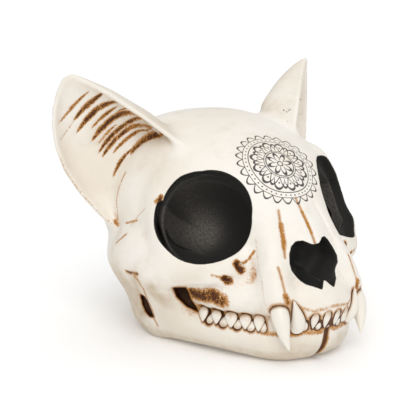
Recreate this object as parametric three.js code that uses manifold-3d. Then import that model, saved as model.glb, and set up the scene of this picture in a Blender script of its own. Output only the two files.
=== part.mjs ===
// Ornamental cast skull of a cat with upright ears and closed jaws, about 141 mm long.
// Units are millimetres, +Z is up, the snout faces -Y and the cat's left side is +X.
// Every form is a distance function of a point: negative inside, positive outside. The forms
// are written for the left side and mirrored, and three.js geometries are drawn onto them.
import * as THREE from 'three';
import { mergeVertices } from 'three/addons/utils/BufferGeometryUtils.js';
import Module from 'manifold-3d';

// Driving dimensions
const gap = 0.3;                    // clear space that neighbouring pieces keep
const socketRadius = 20.3;          // eye socket at its rim
const socketDepth = 24;
const socketCentre = new THREE.Vector3(36.3, -29.2, 61.2);
const socketAxis = new THREE.Vector3(0.473, -0.775, 0.419).normalize();
const noseFloor = -46;              // how far back the nose opening goes
const earFront = 26.5;              // distance of the ear's open side from the middle axis
const earWall = 4.4;
const earRound = 20;                // roundness of the ear's back
const bowlRound = 16;
const mouthHeight = 17.4;           // height of the line where the jaws meet, at the back
const mouthSlope = 0.02;            // and its rise towards the chin
const cheekTeeth = 5;               // on each side of each jaw
const incisors = 4;                 // in the upper jaw, and one more in the lower

const bone = new THREE.MeshStandardMaterial({ color: 0xe9e2d3, roughness: 0.55, metalness: 0 });
const enamel = new THREE.MeshStandardMaterial({ color: 0xf1ebdd, roughness: 0.45, metalness: 0 });

const wasm = await Module();
wasm.setup();

// ---- distance functions -------------------------------------------------------------------

/** The smaller of two distances, with a fillet of about the given width where they meet. */
function softMin(a, b, fillet) {
  if (fillet <= 0) return Math.min(a, b);
  const share = THREE.MathUtils.clamp(0.5 + 0.5 * (b - a) / fillet, 0, 1);
  return b + (a - b) * share - fillet * share * (1 - share);
}

const softMax = (a, b, fillet) => -softMin(-a, -b, fillet);

/** An ellipsoid with its axes along X, Y and Z. */
function egg([cx, cy, cz], [rx, ry, rz]) {
  return (x, y, z) => {
    const near = Math.hypot((x - cx) / rx, (y - cy) / ry, (z - cz) / rz);
    const slope = Math.hypot((x - cx) / rx ** 2, (y - cy) / ry ** 2, (z - cz) / rz ** 2);
    return near * (near - 1) / (slope + 1e-6);
  };
}

/** A smooth tube through stations [x, y, z, radius], with its section stretched along the axes. */
function tube(stations, stretch = [1, 1, 1]) {
  const line = new THREE.CatmullRomCurve3(stations.map(([x, y, z]) => new THREE.Vector3(x, y, z)),
    false, 'catmullrom', 0.5);
  const girth = new THREE.CatmullRomCurve3(stations.map((s) => new THREE.Vector3(s[3], 0, 0)),
    false, 'catmullrom', 0.5);
  const steps = (stations.length - 1) * (stations.length > 2 ? 5 : 1);
  const scale = new THREE.Vector3(...stretch);
  const centres = line.getPoints(steps).map((p) => p.divide(scale));
  const radii = girth.getPoints(steps).map((p) => p.x);
  const shrink = Math.sqrt(Math.min(...stretch));
  const point = new THREE.Vector3();
  const closest = new THREE.Vector3();
  return (x, y, z) => {
    let best = Infinity;
    point.set(x, y, z).divide(scale);
    for (let i = 0; i < steps; i++) {
      closest.subVectors(centres[i + 1], centres[i]);
      const reach = closest.lengthSq() || 1e-9;
      const along = point.x * closest.x + point.y * closest.y + point.z * closest.z
        - centres[i].dot(closest);
      const t = THREE.MathUtils.clamp(along / reach, 0, 1);
      closest.multiplyScalar(t).add(centres[i]);
      best = Math.min(best, point.distanceTo(closest) - radii[i] - t * (radii[i + 1] - radii[i]));
    }
    return best * shrink;
  };
}

/** A form together with its mirror image, for forms close to the middle plane. */
const paired = (form, fillet) => (x, y, z) => softMin(form(x, y, z), form(-x, y, z), fillet);

/** Forms joined one after the other, each with its own fillet. */
class Clay {
  #steps = [];

  add(form, fillet = 0) {
    this.#steps.push([form, fillet]);
    return this;
  }

  distance(x, y, z) {
    const [[first], ...rest] = this.#steps;
    return rest.reduce((d, [form, fillet]) => softMin(d, form(x, y, z), fillet), first(x, y, z));
  }
}

/** Signed distance from a point to a closed outline of [u, v] corners. */
function outlineDistance(u, v, corners) {
  let nearest = Infinity;
  let inside = false;
  corners.forEach(([au, av], i) => {
    const [bu, bv] = corners[(i + 1) % corners.length];
    const [eu, ev] = [bu - au, bv - av];
    const t = THREE.MathUtils.clamp(((u - au) * eu + (v - av) * ev) / (eu * eu + ev * ev), 0, 1);
    nearest = Math.min(nearest, Math.hypot(u - au - t * eu, v - av - t * ev));
    if ((av > v) !== (bv > v) && u < eu * (v - av) / ev + au) inside = !inside;
  });
  return inside ? -nearest : nearest;
}

// ---- the skull's forms --------------------------------------------------------------------

const skull = new Clay()
  // braincase, forehead and the core of the face
  .add(egg([0, 27, 55], [43, 42.9, 37]))
  .add(paired(egg([13, 23, 58], [35, 41.5, 38.5]), 14), 10)
  .add(egg([0, 0, 60.5], [50, 43, 32]), 12)
  .add(egg([0, -22, 46], [30, 30, 26]), 6)
  .add(egg([0, -14, 30], [31, 38, 20]), 8)
  // bridge of the nose, canine roots, edge of the upper jaw and the bone above the incisors
  .add(tube([[0, -30, 58, 15], [0, -47, 43, 13.5], [0, -51.5, 30, 12.5]]), 8)
  .add(paired(tube([[12, -37, 64, 4.5], [13.5, -43, 53, 6], [16.5, -51, 40, 7.2],
    [18.8, -57, 29.5, 6.6]]), 4), 5)
  .add(tube([[19, -49, 27, 7], [26, -40, 27, 7], [31, -28, 27, 7], [30, -12, 28, 9]]), 6)
  .add(paired(egg([4, -57.3, 25], [13.5, 12.4, 10]), 6), 5)
  // cheek bone, the outer rim of the eye socket and the temple
  .add(tube([[24, -38, 42, 6], [32, -36, 39.5, 6.5], [40.5, -29, 38.5, 7], [46.5, -18, 39.5, 8],
    [49.5, -4, 40, 8.5], [50, 8.5, 38, 8.3], [46, 19, 36, 8.6], [37, 27, 36, 12]], [1, 1, 1.15]), 5)
  .add(tube([[46, -19, 47, 7], [45.5, -12.5, 57, 7.5], [42, -9, 66, 8], [36, -10, 73, 8]]), 6)
  .add(egg([38, 4, 46], [13, 16, 20]), 8)
  // side of the skull and the ear capsule under it
  .add(egg([0, 24, 42], [37, 42, 26]), 10)
  .add(tube([[36, 22, 42, 11], [35.5, 25, 28, 10.5], [31.5, 26, 18, 10], [26.5, 27.5, 9.5, 8.8]]), 7)
  // lower jaw: its body, the branch that rises behind the teeth, and the chin
  .add(tube([[4, -54, 10.8, 9.5], [13, -50, 10.6, 10.5], [21, -39, 10.2, 10.2],
    [28.2, -24, 9.4, 9.5], [33, -8, 9, 9.2], [34.5, 6, 8.8, 9]], [1, 1, 1.05]), 3)
  .add(tube([[36, -9, 14, 6.5], [42, -10.5, 24, 6.5], [47, -12, 33, 7]], [1, 1.6, 1]), 5)
  .add(tube([[36.5, -1, 12, 6.5], [42.5, -3.5, 24, 7], [48.5, -5.5, 33, 7.5]], [1, 1.5, 1]), 5)
  .add(tube([[45, 10, 31, 7], [41, 12, 22, 7], [36.5, 14, 12, 7]], [1, 1.3, 1]), 5)
  .add(tube([[34.5, 4, 8.8, 9], [33.5, 16, 8.6, 8.8], [27, 27, 9.2, 9]]), 5)
  .add(egg([0, -52.5, 13.5], [18, 14, 12.6]), 5)
  // ridge across the back of the head
  .add(tube([[0, 67, 66, 3.2], [12, 64.8, 63.5, 3.2], [24, 58, 57, 3.2], [33, 48, 47, 3.5]]), 4);

// ---- the ear's forms ----------------------------------------------------------------------

// The ear opens diagonally. Along is measured outwards and back, and up is the height.
const earOutline = [[12, 82], [24, 91], [36, 99.5], [52, 109.5], [63, 114.8], [68.4, 117],
  [71.6, 114.8], [74.3, 109], [76.2, 102], [76.8, 94], [75.6, 85], [72, 75], [65.5, 65], [57, 54],
  [46, 42], [24, 58]];
const earTip = [69, 117.3];
const earMargin = 1;                // the outline's corners are rounded by this much

/** How a point lies in the ear: distance from the outline, depth behind the opening, taper. */
function earPlace(x, y, z) {
  const along = (x + y) * Math.SQRT1_2;
  const front = earFront - 0.012 * THREE.MathUtils.clamp(72 - z, 0, 60) ** 2;
  return {
    edge: outlineDistance(along, z, earOutline) - earMargin,
    depth: front - (x - y) * Math.SQRT1_2,
    low: THREE.MathUtils.clamp(((along - 36) * 0.555 - (z - 100) * 0.832) / 44, 0, 1),
    far: THREE.MathUtils.clamp(Math.hypot(along - earTip[0], z - earTip[1]) / 34, 0.02, 1),
  };
}

/** A rounded dish behind an outline: the power sets how square its section is. */
function dish(edge, depth, round, power) {
  const side = Math.max(edge + round, 0);
  return (side ** power + Math.max(depth, 0) ** power) ** (1 / power) - round;
}

function earBody(x, y, z) {
  const { edge, depth, low, far } = earPlace(x, y, z);
  return softMax(dish(edge, depth / ((1.1 - 0.4 * low) * far ** 0.5), earRound, 4), -depth, 3);
}

function earBowl(x, y, z) {
  const { edge, depth, low, far } = earPlace(x, y, z);
  const hollow = dish(edge + earWall, depth / ((1 - 0.35 * low) * far ** 0.8), bowlRound, 2.6);
  return Math.max(hollow, -depth - 8);
}

// ---- from forms to solids -----------------------------------------------------------------

/** A geometry reduced to shared positions, as a closed mesh. */
function welded(geometry) {
  const bare = geometry.clone();
  bare.deleteAttribute('normal');
  bare.deleteAttribute('uv');
  return mergeVertices(bare, 1e-4);
}

/** Pulls a unit sphere onto a form, along rays from a centre inside it. */
function wrap(sphere, form, centre, reach) {
  const geometry = welded(sphere);
  const position = geometry.getAttribute('position');
  const ray = new THREE.Vector3();
  for (let i = 0; i < position.count; i++) {
    ray.fromBufferAttribute(position, i).normalize();
    const at = (r) => form(centre.x + ray.x * r, centre.y + ray.y * r, centre.z + ray.z * r);
    let outer = reach;
    while (outer > 0.5 && at(outer) > 0) outer -= 0.5;
    let [low, high] = [outer, outer + 0.5];
    for (let round = 0; round < 12; round++) {
      const middle = (low + high) / 2;
      if (at(middle) > 0) high = middle;
      else low = middle;
    }
    position.setXYZ(i, ...ray.multiplyScalar(low).add(centre).toArray());
  }
  return geometry;
}

/** A sphere with one pole pointing along an axis. */
function poledSphere(axis, around, along) {
  const sphere = new THREE.SphereGeometry(1, around, along);
  return sphere.applyQuaternion(new THREE.Quaternion()
    .setFromUnitVectors(new THREE.Vector3(0, 1, 0), axis.clone().normalize()));
}

/** A solid of manifold-3d from a geometry. */
function solid(geometry) {
  const closed = welded(geometry);
  return new wasm.Manifold(new wasm.Mesh({
    numProp: 3,
    vertProperties: Float32Array.from(closed.getAttribute('position').array),
    triVerts: Uint32Array.from(closed.index.array),
  }));
}

const mirror = (shape) => shape.mirror([1, 0, 0]);
const withMirror = (shape) => shape.add(mirror(shape));
const union = (shapes) => shapes.reduce((all, one) => all.add(one));

/** A named mesh of three.js from a solid. */
function mesh(name, shape, material) {
  const { vertProperties, triVerts } = shape.getMesh();
  const geometry = new THREE.BufferGeometry();
  geometry.setAttribute('position', new THREE.BufferAttribute(vertProperties, 3));
  geometry.setIndex(new THREE.BufferAttribute(triVerts, 1));
  geometry.computeVertexNormals();
  const piece = new THREE.Mesh(geometry, material);
  piece.name = name;
  return piece;
}

/** A block between two corners. */
function block(low, high) {
  const [a, b] = [new THREE.Vector3(...low), new THREE.Vector3(...high)];
  const size = b.clone().sub(a);
  const middle = a.add(b).divideScalar(2);
  return solid(new THREE.BoxGeometry(...size.toArray()).translate(...middle.toArray()));
}

// ---- openings -----------------------------------------------------------------------------

/** The left eye socket: a deep bowl, turned to look outwards, forwards and up. */
function socket() {
  const bowl = new THREE.SphereGeometry(1, 24, 13)
    .scale(socketRadius, socketDepth, socketRadius)
    .applyQuaternion(new THREE.Quaternion()
      .setFromUnitVectors(new THREE.Vector3(0, 1, 0), socketAxis));
  const seat = socketCentre.clone().addScaledVector(socketAxis, -4);
  return solid(bowl.translate(...seat.toArray()));
}

/** The heart-shaped nose opening, with its lower point notched by the middle spine. */
function nose() {
  const half = [[2, 50.6], [5.5, 52.6], [8.6, 52.6], [11, 49.5], [11.8, 46], [12.8, 42.6],
    [11.5, 39.5], [8.5, 36.4], [5.2, 33.6], [3.2, 31.8], [1.6, 33]];
  const outline = [[0, 50], ...half, [0, 35.2], ...half.map(([x, z]) => [-x, z]).reverse()];
  const shape = new THREE.Shape(outline.map(([x, z]) => new THREE.Vector2(x, z)));
  const depth = 84 + noseFloor;
  const cut = new THREE.ExtrudeGeometry(shape, { depth, bevelEnabled: false });
  return solid(cut.rotateX(Math.PI / 2).translate(0, noseFloor, 0));
}

/** A ball scaled to three radii, as a cutter. */
function hollow(centre, radii, around = 20, along = 12) {
  const ball = new THREE.SphereGeometry(1, around, along).rotateX(Math.PI / 2);
  return solid(ball.scale(...radii).translate(...centre));
}

// ---- teeth --------------------------------------------------------------------------------

/** A pointed tooth from the middle of its root to its tip, on a flattened cone. */
function tooth(root, tip, width, depth, sides = 5, grow = 0) {
  const [a, b] = [new THREE.Vector3(...root), new THREE.Vector3(...tip)];
  const axis = b.clone().sub(a);
  const length = axis.length() + 2 * grow;
  const outward = new THREE.Vector3(a.x, a.y + 30, 0).normalize();
  const side = new THREE.Vector3().crossVectors(axis, outward).normalize();
  const face = new THREE.Vector3().crossVectors(side, axis).normalize();
  const cone = new THREE.CylinderGeometry(0.12, 0.5, length, sides)
    .scale(width + 2 * grow, 1, depth + 2 * grow)
    .applyMatrix4(new THREE.Matrix4().makeBasis(side, axis.normalize(), face));
  return solid(cone.translate(...a.add(b).divideScalar(2).toArray()));
}

/** The left row of cheek teeth of one jaw, from the back to the canine. */
function cheekRow(upper, grow = 0) {
  const row = new THREE.CatmullRomCurve3([new THREE.Vector3(36.5, -27, 0),
    new THREE.Vector3(33, -38, 0), new THREE.Vector3(27.5, -50.5, 0)]);
  const [root, tip, width] = upper ? [23, 15, 6] : [12.5, 19.5, 5.4];
  const [first, last] = upper ? [0, 1] : [0.12, 0.9];
  return union(Array.from({ length: upper ? cheekTeeth : cheekTeeth - 1 }, (_, i) => {
    const share = THREE.MathUtils.lerp(first, last, i / (cheekTeeth - (upper ? 1 : 2)));
    const { x, y } = row.getPoint(share);
    return tooth([x, y, root], [x + 0.6, y, tip], width, 5.5, 5, grow);
  }));
}

/** The incisors of one jaw, across the front. */
function incisorRow(upper, grow = 0) {
  const arc = (x) => -65.5 + 0.035 * x * x;
  const [root, tip, width, span] = upper ? [27, 17, 4.4, 7.9] : [13, 19.5, 3.2, 10.6];
  return union(Array.from({ length: upper ? incisors : incisors + 1 }, (_, i) => {
    const x = THREE.MathUtils.lerp(-span, span, i / (incisors - (upper ? 1 : 0)));
    return tooth([x, arc(x), root], [x, arc(x) - 1.2, tip], width, 4.6, 5, grow);
  }));
}

const row = (upper, grow) => withMirror(cheekRow(upper, grow)).add(incisorRow(upper, grow));

/** The left canine of one jaw: a gently curved spike. */
function canine(upper, grow = 0) {
  const stations = upper
    ? [[19.5, -56.5, 36, 4.4], [21, -60.5, 27.6, 4.7], [21, -63.7, 19, 2.9], [19.6, -65.9, 9.2, 0.5]]
    : [[13.2, -58.5, 9, 3], [13.6, -62.8, 14.5, 3.1], [14.8, -65, 21.5, 2.5], [16.6, -64.8, 29.2, 0.5]];
  const centre = new THREE.Vector3(...stations[1]);
  const axis = new THREE.Vector3(...stations.at(-1)).sub(centre);
  const form = tube(stations);
  const spike = (x, y, z) => form(x, y, z) - grow;
  return solid(wrap(poledSphere(axis, 10, 8), spike, centre, 24));
}

// ---- pieces -------------------------------------------------------------------------------

const below = block([-90, -90, -20], [90, 90, 0]);
const skullForm = (grow) => (x, y, z) => skull.distance(Math.abs(x), y, z) - grow;
const skullCentre = new THREE.Vector3(0, -6, 40);
const skullSphere = new THREE.IcosahedronGeometry(1, 11);
const whole = solid(wrap(skullSphere, skullForm(0), skullCentre, 120)).subtract(below);
const wholeGrown = solid(wrap(skullSphere, skullForm(gap), skullCentre, 120));

/** The part of the skull that belongs to the lower jaw, as a side profile cut through it. */
function jawRegion(grow) {
  const mouth = (y) => mouthHeight - mouthSlope * y - grow;
  const body = [[-90, -1], [-90, mouth(-90)], [-23 + grow, mouth(-23)], [10 - grow, mouth(10)],
    [14 - grow, 8], [14 - grow, -1]];
  const branch = [[-24 + grow, 20 - grow], [-17 + grow, 31 - grow],
    [8 - grow, 31 - grow], [13 - grow, 18], [13 - grow, 8], [-19 + grow, 8]];
  const profile = (points, width, shift) => {
    const shape = new THREE.Shape(points.map(([y, z]) => new THREE.Vector2(y, z)));
    const cut = new THREE.ExtrudeGeometry(shape, { depth: width, bevelEnabled: false });
    const toSkull = new THREE.Matrix4().makeBasis(new THREE.Vector3(0, 1, 0),
      new THREE.Vector3(0, 0, 1), new THREE.Vector3(1, 0, 0));
    return solid(cut.applyMatrix4(toSkull).translate(shift, 0, 0));
  };
  return profile(body, 180, -90).add(withMirror(profile(branch, 60, 36 + grow)));
}

const throat = hollow([0, -10, -2], [17, 36, 13], 20, 10);
const cheekHollow = withMirror(hollow([43.5, -26, 26], [7, 8, 6], 12, 8));
const jawSlit = withMirror(hollow([42.5, 9, 12.5], [6, 2, 8], 12, 8));
const sockets = withMirror(socket());
const canines = union([true, false].map((upper) => withMirror(canine(upper, gap))));

const cranium = whole.subtract(jawRegion(0)).subtract(sockets).subtract(nose()).subtract(throat)
  .subtract(cheekHollow).subtract(jawSlit).subtract(row(false, gap)).add(row(true, 0))
  .subtract(canines);
const mandible = whole.intersect(jawRegion(gap)).subtract(throat).subtract(cheekHollow)
  .subtract(jawSlit).add(row(false, 0)).subtract(row(true, gap)).subtract(canines);

/** The left ear, cut where it meets the skull. */
function ear() {
  const middle = new THREE.Vector3(44.5, 24, 84);
  const mouth = new THREE.Vector3(51, 16, 86);
  const tip = new THREE.Vector3(earTip[0] + earFront - 1, earTip[0] - earFront + 1, 0)
    .multiplyScalar(Math.SQRT1_2).setZ(earTip[1]);
  const shell = solid(wrap(poledSphere(tip.clone().sub(middle), 22, 16), earBody, middle, 70));
  const bowl = solid(wrap(poledSphere(tip.clone().sub(mouth), 18, 12), earBowl, mouth, 70));
  return shell.subtract(bowl).subtract(wholeGrown);
}

const earLeft = ear();
const model = new THREE.Group();
model.add(mesh('cranium', cranium, bone));
model.add(mesh('mandible', mandible, bone));
model.add(mesh('ear_left', earLeft, bone));
model.add(mesh('ear_right', mirror(earLeft), bone));
for (const upper of [true, false]) {
  const name = upper ? 'upper_canine' : 'lower_canine';
  const spike = canine(upper);
  model.add(mesh(`${name}_left`, spike, enamel));
  model.add(mesh(`${name}_right`, mirror(spike), enamel));
}

export default model;
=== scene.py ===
"""Cat skull ornament of cream cast resin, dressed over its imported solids.

The skull is modelled as clay: forms with a distance function are joined, cut and engraved on a
grid, and the grid's surface becomes the cast. Lengths are in millimetres until a mesh is written;
+Z is up, the snout faces -Y and the cat's left side is +X. Forms are given for the left side.
"""
from __future__ import annotations

import logging
import math
from dataclasses import dataclass, field, replace
from enum import Enum
from typing import Callable, Sequence

import bpy
import numpy as np
from mathutils import Matrix, Vector

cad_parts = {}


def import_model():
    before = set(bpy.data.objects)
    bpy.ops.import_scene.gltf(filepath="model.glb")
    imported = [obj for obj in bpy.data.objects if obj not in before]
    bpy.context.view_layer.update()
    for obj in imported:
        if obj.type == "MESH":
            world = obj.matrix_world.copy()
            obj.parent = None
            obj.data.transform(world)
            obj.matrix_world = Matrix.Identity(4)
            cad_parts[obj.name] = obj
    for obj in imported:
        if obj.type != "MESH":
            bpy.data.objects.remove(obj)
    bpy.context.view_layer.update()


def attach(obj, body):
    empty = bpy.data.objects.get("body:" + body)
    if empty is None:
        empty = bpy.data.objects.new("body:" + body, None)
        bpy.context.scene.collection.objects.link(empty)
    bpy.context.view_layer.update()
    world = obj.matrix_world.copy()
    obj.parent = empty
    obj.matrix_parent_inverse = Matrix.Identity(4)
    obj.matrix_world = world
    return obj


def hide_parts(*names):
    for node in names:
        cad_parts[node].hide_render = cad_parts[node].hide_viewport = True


LOG = logging.getLogger("cat_skull")
MM = 0.001
WIDEST = 0.36  # where along its length a crown is widest

Array = np.ndarray
Point = tuple[float, float, float]
Station = tuple[float, float, float, float]
FAR = 40.0


# ---- distance functions -------------------------------------------------------------------


def soft_min(a: Array, b: Array, fillet: float) -> Array:
    """The smaller of two distances, rounded where they meet.

    Args:
        a: first distances in mm.
        b: second distances in mm.
        fillet: about the width of the fillet in mm, 0 for a sharp edge.
    Returns:
        The joined distances.
    """
    if fillet <= 0:
        return np.minimum(a, b)
    share = np.clip(0.5 + 0.5 * (b - a) / fillet, 0, 1)
    return b + (a - b) * share - fillet * share * (1 - share)


def soft_max(a: Array, b: Array, fillet: float) -> Array:
    """The larger of two distances, rounded where they meet."""
    return -soft_min(-a, -b, fillet)


def fade(value: Array, start: float, run: float) -> Array:
    """0 up to start, rising to 1 over the run; a negative run rises the other way."""
    return np.clip((value - start) / run, 0, 1)


def segment_distance(x: Array, y: Array, z: Array, a: Array, b: Array) -> tuple[Array, Array]:
    """Distance to a straight segment.

    Args:
        x: coordinates along X.
        y: coordinates along Y.
        z: coordinates along Z.
        a: start of the segment.
        b: end of the segment.
    Returns:
        The distances, and the share of the segment at the nearest point.
    """
    d = b[:3] - a[:3]
    share = np.clip(((x - a[0]) * d[0] + (y - a[1]) * d[1] + (z - a[2]) * d[2])
                    / max(float(d @ d), 1e-9), 0, 1)
    gap = np.sqrt((x - a[0] - share * d[0]) ** 2 + (y - a[1] - share * d[1]) ** 2
                  + (z - a[2] - share * d[2]) ** 2)
    return gap, share


def polygon_distance(u: Array, v: Array, corners: Sequence[tuple[float, float]]) -> Array:
    """Signed distance to a closed outline in a plane, negative inside."""
    ring = np.array(corners, float)
    gap = inside = None
    for a, b in zip(ring, np.roll(ring, -1, 0)):
        e = b - a
        share = np.clip(((u - a[0]) * e[0] + (v - a[1]) * e[1]) / (e @ e), 0, 1)
        q = (u - a[0] - share * e[0]) ** 2 + (v - a[1] - share * e[1]) ** 2
        gap = q if gap is None else np.minimum(gap, q)
        cross = ((a[1] > v) != (b[1] > v)) & (
            u < (b[0] - a[0]) * (v - a[1]) / ((b[1] - a[1]) or 1e-9) + a[0])
        inside = cross if inside is None else inside ^ cross
    return np.where(inside, -np.sqrt(gap), np.sqrt(gap))


class Form:
    """A solid form: the box it fills, and the distance of any point from its skin."""

    def reach(self) -> tuple[Array, Array]:
        """Lowest and highest corner of the form's box."""
        raise NotImplementedError

    def __call__(self, x: Array, y: Array, z: Array) -> Array:
        """Signed distance of points, negative inside."""
        raise NotImplementedError


@dataclass(frozen=True)
class Egg(Form):
    """An ellipsoid, optionally turned so that the rows of axes are its own axes."""

    centre: Point
    radii: Point
    axes: tuple[Point, Point, Point] | None = None

    def reach(self) -> tuple[Array, Array]:
        """Lowest and highest corner of the form's box."""
        r = np.array(self.radii if self.axes is None else (max(self.radii),) * 3)
        return np.array(self.centre) - r, np.array(self.centre) + r

    def __call__(self, x: Array, y: Array, z: Array) -> Array:
        """Signed distance of points, negative inside."""
        p = (x - self.centre[0], y - self.centre[1], z - self.centre[2])
        if self.axes is not None:
            p = tuple(t[0] * p[0] + t[1] * p[1] + t[2] * p[2] for t in self.axes)
        r = self.radii
        near = np.sqrt((p[0] / r[0]) ** 2 + (p[1] / r[1]) ** 2 + (p[2] / r[2]) ** 2)
        slope = np.sqrt((p[0] / r[0] ** 2) ** 2 + (p[1] / r[1] ** 2) ** 2 + (p[2] / r[2] ** 2) ** 2)
        return near * (near - 1) / (slope + 1e-6)


@dataclass(frozen=True)
class Tube(Form):
    """A smooth tube through stations (x, y, z, radius), its section stretched along the axes."""

    stations: tuple[Station, ...]
    stretch: Point = (1.0, 1.0, 1.0)
    steps: int = 5

    def line(self) -> Array:
        """The stations with a smooth curve's points between them."""
        p = np.array(self.stations, float)
        if len(p) < 3:
            return p
        q = np.concatenate([[2 * p[0] - p[1]], p, [2 * p[-1] - p[-2]]])
        out = []
        for i in range(1, len(q) - 2):
            for t in np.arange(self.steps) / self.steps:
                out.append(0.5 * (2 * q[i] + (q[i + 1] - q[i - 1]) * t
                                  + (2 * q[i - 1] - 5 * q[i] + 4 * q[i + 1] - q[i + 2]) * t * t
                                  + (3 * q[i] - q[i - 1] - 3 * q[i + 1] + q[i + 2]) * t ** 3))
        return np.array(out + [q[-2]])

    def reach(self) -> tuple[Array, Array]:
        """Lowest and highest corner of the form's box."""
        p = self.line()
        r = p[:, 3:] * np.array(self.stretch)
        return (p[:, :3] - r).min(0), (p[:, :3] + r).max(0)

    def __call__(self, x: Array, y: Array, z: Array) -> Array:
        """Signed distance of points, negative inside."""
        k = np.array(self.stretch)
        p = self.line()
        p[:, :3] /= k
        x, y, z = x / k[0], y / k[1], z / k[2]
        out = None
        for a, b in zip(p[:-1], p[1:]):
            gap, share = segment_distance(x, y, z, a, b)
            gap = gap - (a[3] + share * (b[3] - a[3]))
            out = gap if out is None else np.minimum(out, gap)
        return out * float(k.min()) ** 0.5


@dataclass(frozen=True)
class Paired(Form):
    """A form and its mirror image, joined with a fillet."""

    form: Form
    fillet: float

    def reach(self) -> tuple[Array, Array]:
        """Lowest and highest corner of the form's box."""
        low, high = self.form.reach()
        side = max(abs(low[0]), abs(high[0]))
        return np.array([-side, low[1], low[2]]), np.array([side, high[1], high[2]])

    def __call__(self, x: Array, y: Array, z: Array) -> Array:
        """Signed distance of points, negative inside."""
        return soft_min(self.form(x, y, z), self.form(-x, y, z), self.fillet)


@dataclass(frozen=True)
class EarShell(Form):
    """The left ear: a dish that faces outwards and forwards, with a bowl hollowed in its front."""

    outline: tuple[tuple[float, float], ...] = (
        (12, 82), (24, 91), (36, 99.5), (52, 109.5), (63, 114.8), (68.4, 117), (71.6, 114.8),
        (74.3, 109), (76.2, 102), (76.8, 94), (75.6, 85), (72, 75), (65.5, 65), (57, 54), (46, 42),
        (24, 58))
    tip: tuple[float, float] = (69.0, 117.3)
    front: float = 26.5
    wall: float = 2.4
    body_round: float = 20.0
    bowl_round: float = 16.0

    def reach(self) -> tuple[Array, Array]:
        """Lowest and highest corner of the form's box."""
        return np.array([6.0, -24, 30]), np.array([80.0, 66, 122])

    @staticmethod
    def across(x: Array, y: Array) -> Array:
        """Distance along the ear's own flat, away from the head's middle."""
        return (x + y) * math.sqrt(0.5)

    def _parts(self, x: Array, y: Array, z: Array) -> tuple[Array, Array, Array, Array]:
        """Edge distance, nearness to the lower lobe, distance to the tip and depth of points."""
        s, n = self.across(x, y), (x - y) * math.sqrt(0.5)
        edge = polygon_distance(s, z, self.outline) - 1
        low = np.clip(((s - 36) * 0.555 - (z - 100) * 0.832) / 44, 0, 1)
        far = np.clip(np.hypot(s - self.tip[0], z - self.tip[1]) / 34, 0.02, 1)
        depth = self.front - 0.012 * np.clip(72 - z, 0, 60) ** 2 - n
        return edge, low, far, depth

    @staticmethod
    def _dish(edge: Array, depth: Array, radius: float, power: float) -> Array:
        """Distance to a dish whose edge turns back with the given radius."""
        a, b = np.maximum(edge + radius, 0), np.maximum(depth, 0)
        return (a ** power + b ** power) ** (1 / power) - radius

    def inside(self, x: Array, y: Array, z: Array) -> Array:
        """0 on the ear's lip and 1 well behind it."""
        return fade(self._parts(x, y, z)[3], 1.6, 2.4)

    def body(self, x: Array, y: Array, z: Array) -> Array:
        """Distance to the ear before it is hollowed."""
        edge, low, far, depth = self._parts(x, y, z)
        dish = self._dish(edge, depth / ((1.1 - 0.4 * low) * far ** 0.5), self.body_round, 4)
        return soft_max(dish, -depth, 3)

    def bowl(self, x: Array, y: Array, z: Array) -> Array:
        """Distance to the hollow in the ear's front."""
        edge, low, far, depth = self._parts(x, y, z)
        return self._dish(edge + self.wall, depth / ((1 - 0.35 * low) * far ** 0.8),
                          self.bowl_round, 2.6)

    def __call__(self, x: Array, y: Array, z: Array) -> Array:
        """Signed distance of points, negative inside."""
        return soft_max(self.body(x, y, z), -self.bowl(x, y, z), 2.5)


@dataclass(frozen=True)
class NoseOpening(Form):
    """The heart-shaped nose opening: two lobes behind it, parted by a low fold."""

    half: tuple[tuple[float, float], ...] = (
        (2, 50.4), (5, 52.2), (8, 52.2), (10.6, 50), (12.3, 46.8), (13.2, 43), (12.8, 40.2),
        (9.5, 36), (6, 33.2), (3.2, 30.9), (1.5, 32.6))
    floor: float = -46.0

    def reach(self) -> tuple[Array, Array]:
        """Lowest and highest corner of the form's box."""
        return np.array([-14.0, -86, 28]), np.array([14.0, -38, 56])

    def rim(self, x: Array, z: Array) -> Array:
        """Distance to the heart's outline."""
        ring = [(0, 50), *self.half, (0, 35.2), *[(-a, b) for a, b in self.half[::-1]]]
        return polygon_distance(x + 0 * z, z + 0 * x, ring)

    def __call__(self, x: Array, y: Array, z: Array) -> Array:
        """Signed distance of points, negative inside."""
        fold = 3.5 * np.exp(-(x / 2.2) ** 2) * fade(z, 46, -8)
        inward = self.rim(x, z) + np.clip((y + 62) * 0.12, 0, 3) + np.clip((-62 - y) * 0.35, 0, 9)
        return soft_max(inward + 0 * y, y - self.floor - fold + 0 * inward, 5)


@dataclass(frozen=True)
class Slot(Form):
    """A deep slot: a closed outline of points on the skin, sunk along a direction."""

    mouth: tuple[Point, ...]
    way: Point = (-0.58, 0.79, -0.21)
    depth: float = 6.0

    def _frame(self) -> Array:
        """Rows: across the slot, up it and into it."""
        into = np.array(self.way) / np.linalg.norm(self.way)
        side = np.cross(into, [0, 0, 1.0])
        side /= np.linalg.norm(side)
        return np.array([side, np.cross(side, into), into])

    def reach(self) -> tuple[Array, Array]:
        """Lowest and highest corner of the form's box."""
        p = np.array(self.mouth)
        return p.min(0) - self.depth - 1, p.max(0) + self.depth + 1

    def __call__(self, x: Array, y: Array, z: Array) -> Array:
        """Signed distance of points, negative inside."""
        c = np.mean(self.mouth, 0)
        rows = self._frame()
        ring = (np.array(self.mouth) - c) @ rows[:2].T
        u, v, w = (r[0] * (x - c[0]) + r[1] * (y - c[1]) + r[2] * (z - c[2]) for r in rows)
        return np.maximum(polygon_distance(u, v, ring), np.abs(w) - self.depth)


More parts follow.
